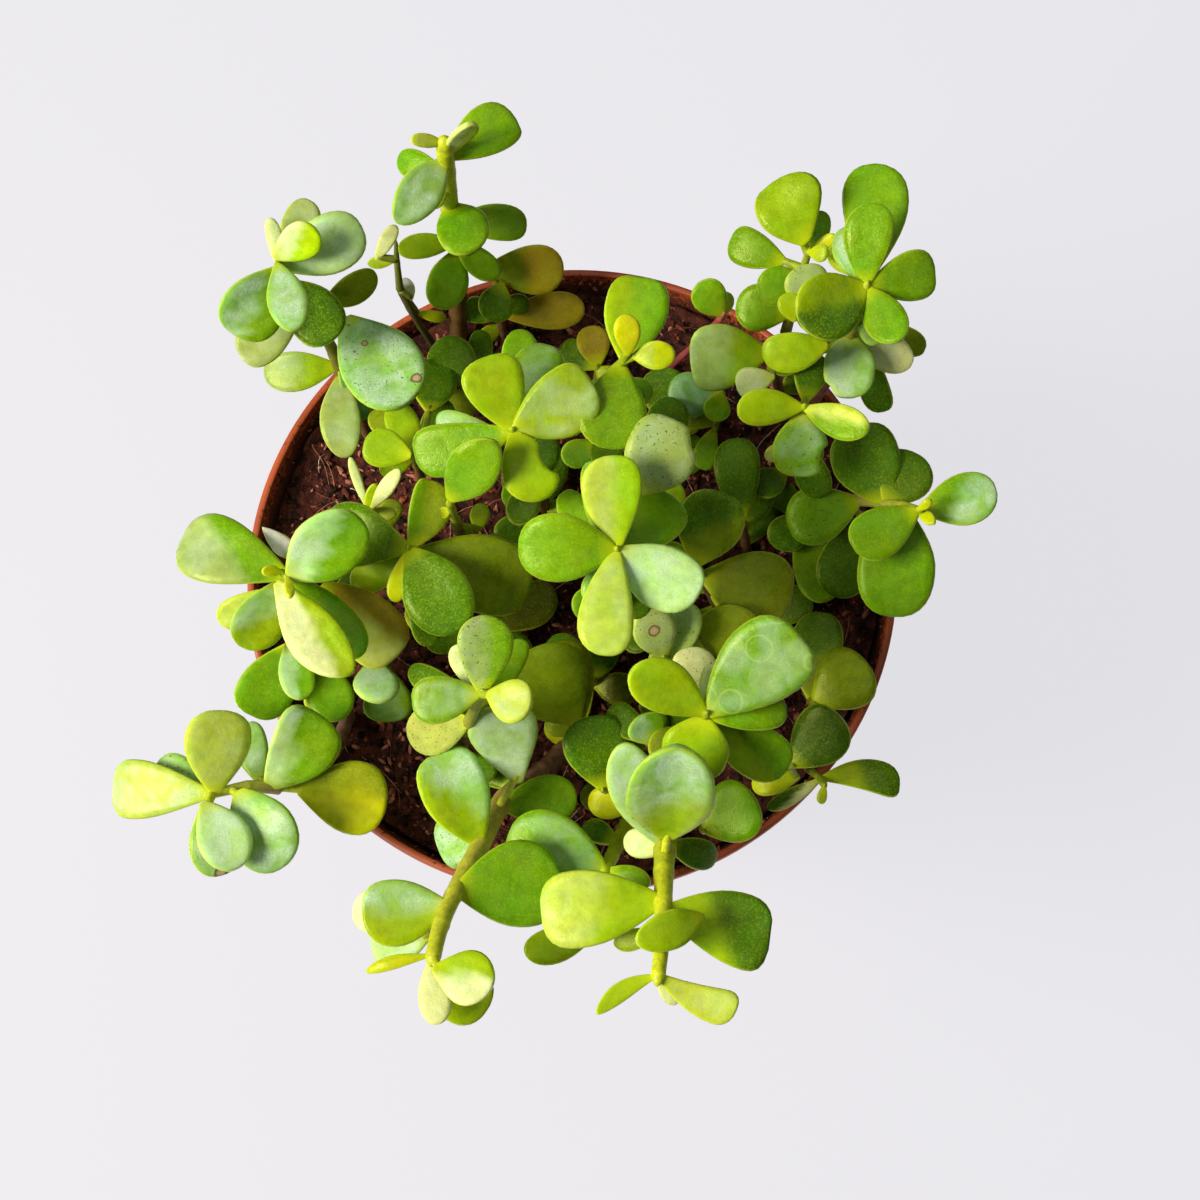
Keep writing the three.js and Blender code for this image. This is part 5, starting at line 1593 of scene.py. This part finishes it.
def shoot_parts(name):
    """The stems and the leaves of one shoot."""
    shoot = SHOOTS[name]
    thickness = shoot["thickness"]
    colours = STEM_COLOURS.get(name, USUAL_STEM)
    bark_only, green_only = (colours[0], colours[0]), (colours[1], colours[1])
    green, woody = sighted(shoot["green"]), sighted(shoot["woody"])
    stems, leaves = [], []
    if name not in BARE_STEMS:
        path = smooth_path(woody, PATH_STEPS)
        radius = thickness / 2
        stems.append(stem_part(path, radius, BARE_TAPER * radius, bark_only, (1, 0.7)))
    path = smooth_path(green, PATH_STEPS)
    top = TOP_RADII.get(name, USUAL_TOP) * thickness
    stems.append(stem_part(path, 0.5 * thickness, top, colours, (0.25, 0), TOP_INSET))
    for index, row in enumerate(shoot["leaves"]):
        foot, tip = sighted([row[0:3], row[3:6]])
        root = nearest_on(green, foot)
        if np.linalg.norm(root - foot) < TWIG_FROM:
            foot = root
        else:
            twig = smooth_path(np.array((root, foot + TWIG_OVERLAP * (tip - foot))), TWIG_STEPS)
            stems.append(stem_part(twig, TWIG_RADIUS, TWIG_TAPER * TWIG_RADIUS, green_only, (0, 0)))
        own = OWN_SHAPES.get((name, index), {})
        shape, looks = leaf_part(foot, tip, row[6], row[7], own, NOTCHES.get((name, index)))
        count = len(shape[0])
        # Each leaf's share of bloom and painted sheen, by its tones and its plus.
        words = row[7].replace("-", "/").strip("*+").split("/")
        more = PLUS_BLOOM_AND_SHEEN * ("+" in row[7])
        of_first, of_second = (BLOOM_AND_SHEEN_SHARES.get(word, TRACE) + more for word in (words[0], words[-1]))
        looks["bloom_and_sheen"] = of_second + (of_first - of_second) * looks["first"]
        looks["specks"] = np.full(count, 1.0 if "*" in row[7] else FEW_SPECKS)
        looks["rings"] = np.full(count, 1.0 if (name, index) == DROP_MARKED else 0.0)
        for mark, (along, across, radius) in zip(("mark_a", "mark_b"), MARKS.get((name, index), [])):
            off = np.abs(looks["along"] / looks["along"].max() - along)
            off += np.abs(looks["across"] / (row[6] / 2) - across)
            off[1:-1] += FAR * (np.tile(np.arange(LEAF_AROUND), LEAF_RINGS) >= LEAF_AROUND / 2)
            looks[mark] = (shape[0] - shape[0][np.argmin(off)]) / radius
        leaves.append((shape, looks))
    path = smooth_path(woody, PATH_STEPS)
    for height, bearing, length, width in shoot.get("pairs", []):
        foot = path[np.argmin(np.abs(path[:, 2] - height))]
        for turn in (0, 180):
            angle = math.radians(bearing + turn)
            tip = foot + length * np.array((math.cos(angle), math.sin(angle), LOW_LEAF_RISE))
            leaves.append(leaf_part(foot, tip, width, str(chance.choice(UNSEEN_TONES)), {}))
    return stems, leaves


# Leaf skin: a waxy cuticle over wet green flesh, satin and faintly dimpled. Pores make a fine pale grain,
# coarser here than in life so that it shows. Pale bluish patches, thinner over the pores, are a faint powdery
# bloom with a painted reflection of the window laid over it.
# A few leaves have dark specks, brown scabs or the pale rings of dried drops.
leaf_skin, tree, skin, place = new_material("waxy_leaf_skin")
own = add_node(tree, "ShaderNodeAttribute", {}, attribute_name="tone")
rim, along, bloom_and_sheen, specks, rings = (
    add_node(tree, "ShaderNodeAttribute", {}, attribute_name=look).outputs["Fac"]
    for look in ("rim", "along", "bloom_and_sheen", "specks", "rings")
)
mark_a, mark_b = (
    add_node(tree, "ShaderNodeAttribute", {}, attribute_name=look).outputs["Vector"]
    for look in ("mark_a", "mark_b")
)

mottle = add_node(tree, "ShaderNodeTexNoise", {"Vector": place, "Scale": 1 / (1.9 * MM), "Detail": 4.0})
mottled = add_node(
    tree, "ShaderNodeMapRange", {"Value": mottle.outputs[0], 1: 0.32, 2: 0.68, 3: 0.86, 4: 1.12}
)
drift = add_node(tree, "ShaderNodeTexNoise", {"Vector": place, "Scale": 1 / (7 * MM), "Detail": 1.0})
drifted = add_node(
    tree, "ShaderNodeMapRange", {"Value": drift.outputs[0], 1: 0.3, 2: 0.7, 3: 0.488, 4: 0.512}
)
flesh = add_node(
    tree,
    "ShaderNodeHueSaturation",
    {"Hue": drifted.outputs[0], "Value": mottled.outputs[0], "Color": own.outputs["Color"]},
)
pore = add_node(tree, "ShaderNodeTexNoise", {"Vector": place, "Scale": 1 / (0.34 * MM), "Detail": 1.0})
grainy = add_node(tree, "ShaderNodeMapRange", {"Value": pore.outputs[0], 1: 0.5, 2: 0.7, 3: 0.0, 4: 0.26})
# Patches of bloom and painted sheen, kept off the rim and thinner over the pores.
patch_noise = add_node(
    tree, "ShaderNodeTexNoise", {"Vector": place, "Scale": 1 / (4.6 * MM), "Detail": 3.0, "Distortion": 0.6}
)
patchy = add_node(
    tree, "ShaderNodeMapRange", {"Value": patch_noise.outputs[0], 1: 0.38, 2: 0.64, 3: 0.1, 4: 1.0}
)
inner = add_node(tree, "ShaderNodeMapRange", {"Value": rim, 1: 0.2, 2: 1.5, 3: 0.0, 4: 1.0})
inner_patchy = add_node(
    tree, "ShaderNodeMath", {0: patchy.outputs[0], 1: inner.outputs[0]}, operation="MULTIPLY"
)
sifted = add_node(tree, "ShaderNodeMapRange", {"Value": pore.outputs[0], 1: 0.38, 2: 0.62, 3: 1.0, 4: 0.5})
sifted_bloom_and_sheen = add_node(tree, "ShaderNodeMath", {0: sifted.outputs[0], 1: bloom_and_sheen}, operation="MULTIPLY")
bloom_and_sheen_share = add_node(
    tree, "ShaderNodeMath", {0: inner_patchy.outputs[0], 1: sifted_bloom_and_sheen.outputs[0]}, operation="MULTIPLY"
)
# Towards the rim the skin pales: the leaf's own margin with a painted edge highlight.
near_rim = add_node(tree, "ShaderNodeMapRange", {"Value": rim, 1: 0.06, 2: 0.34, 3: 0.55, 4: 0.0})
near_foot = add_node(tree, "ShaderNodeMapRange", {"Value": along, 1: 0.6, 2: 3.2, 3: 0.75, 4: 0.0})
dot = add_node(tree, "ShaderNodeTexNoise", {"Vector": place, "Scale": 1 / (0.42 * MM), "Detail": 1.0})
dotted = add_node(tree, "ShaderNodeMapRange", {"Value": dot.outputs[0], 1: 0.66, 2: 0.71, 3: 0.0, 4: 0.7})
dot_share = add_node(tree, "ShaderNodeMath", {0: dotted.outputs[0], 1: specks}, operation="MULTIPLY")
cell = add_node(
    tree, "ShaderNodeTexVoronoi", {"Vector": place, "Scale": 1 / (6.4 * MM), "Randomness": 0.7}
)
past_ring = add_node(tree, "ShaderNodeMath", {0: cell.outputs["Distance"], 1: 0.36}, operation="SUBTRACT")
off_ring = add_node(tree, "ShaderNodeMath", {0: past_ring.outputs[0]}, operation="ABSOLUTE")
ringed = add_node(
    tree, "ShaderNodeMapRange", {"Value": off_ring.outputs[0], 1: 0.01, 2: 0.035, 3: 0.3, 4: 0.0}
)
ring_share = add_node(tree, "ShaderNodeMath", {0: ringed.outputs[0], 1: rings}, operation="MULTIPLY")
off_a = add_node(tree, "ShaderNodeVectorMath", {0: mark_a}, operation="LENGTH").outputs["Value"]
off_b = add_node(tree, "ShaderNodeVectorMath", {0: mark_b}, operation="LENGTH").outputs["Value"]
off_mark = add_node(tree, "ShaderNodeMath", {0: off_a, 1: off_b}, operation="MINIMUM")
frayed = add_node(
    tree,
    "ShaderNodeMath",
    {0: mottle.outputs[0], 1: 0.8, 2: off_mark.outputs[0]},
    operation="MULTIPLY_ADD",
)
in_scar = add_node(
    tree, "ShaderNodeMapRange", {"Value": frayed.outputs[0], 1: 1.2, 2: 1.35, 3: 0.9, 4: 0.0}
)
scab = add_node(tree, "ShaderNodeMapRange", {"Value": frayed.outputs[0], 1: 0.85, 2: 1.1, 3: 0.0, 4: 1.0})
scab_colour = add_node(
    tree,
    "ShaderNodeMix",
    {0: scab.outputs[0], 6: linear(SCAR_PALE), 7: linear(SCAR_BROWN)},
    data_type="RGBA",
)
# Over the flesh lie the pores, the bloom with its painted sheen, the margin with its painted edge highlight,
# the foot, specks, dried drops and scabs, each by its own share.
colour = flesh.outputs[0]
for share, layer in (
    (grainy, linear(PALE_PORE)),
    (bloom_and_sheen_share, linear(BLOOM_AND_SHEEN)),
    (near_rim, linear(PALE_MARGIN_AND_HIGHLIGHT)),
    (near_foot, linear(PALE_FOOT)),
    (dot_share, linear(SPECK)),
    (ring_share, linear(DRIED_DROP)),
    (in_scar, scab_colour.outputs[2]),
):
    laid = add_node(tree, "ShaderNodeMix", {0: share.outputs[0], 6: colour, 7: layer}, data_type="RGBA")
    colour = laid.outputs[2]
tree.links.new(colour, skin.inputs["Base Color"])
matt = add_node(tree, "ShaderNodeMapRange", {"Value": mottle.outputs[0], 1: 0.3, 2: 0.7, 3: 0.22, 4: 0.36})
tree.links.new(matt.outputs[0], skin.inputs["Roughness"])
skin.inputs["IOR"].default_value = 1.45
skin.inputs["Specular IOR Level"].default_value = 0.3
skin.inputs["Specular Tint"].default_value = linear(SHEEN)
skin.inputs["Subsurface Weight"].default_value = 0.12
skin.inputs["Subsurface Radius"].default_value = (0.6, 1.0, 0.2)
skin.inputs["Subsurface Scale"].default_value = 0.8 * MM
dimple = add_node(
    tree, "ShaderNodeBump", {"Height": mottle.outputs[0], "Strength": 0.5, "Distance": 0.22 * MM}
)
prick = add_node(
    tree,
    "ShaderNodeBump",
    {"Height": pore.outputs[0], "Normal": dimple.outputs[0], "Strength": 0.5, "Distance": 0.07 * MM},
)
tree.links.new(prick.outputs[0], skin.inputs["Normal"])

# What a part carries for a look that it doesn't set itself: far from any rim, foot and mark, with a trace
# of bloom and painted sheen and few specks.
LOOKS = {
    "rim": FAR,
    "along": FAR,
    "bloom_and_sheen": 0.05,
    "specks": FEW_SPECKS,
    "rings": 0.0,
    "mark_a": (FAR, FAR, FAR),
    "mark_b": (FAR, FAR, FAR),
    "wood": 0.0,
}
for name in SHOOTS:
    stems, leaves = shoot_parts(name)
    points, faces = joined([shape for shape, _ in stems + leaves])
    mesh = new_mesh("shoot_" + name, points, faces)
    set_attribute(mesh, "tone", all_points(stems + leaves, "tone", (0.0, 0.0, 0.0, 1.0)))
    for look, fallback in LOOKS.items():
        set_attribute(mesh, look, all_points(stems + leaves, look, fallback))
    stem_faces = sum(len(block) for (_, blocks), _ in stems for block in blocks)
    material_index = np.zeros(len(mesh.polygons), np.int32)
    material_index[:stem_faces] = 1
    piece = new_object("shoot_" + name, mesh, leaf_skin, bark)
    mesh.polygons.foreach_set("material_index", material_index)
    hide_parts("sprig_" + name)
    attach(piece, "root")
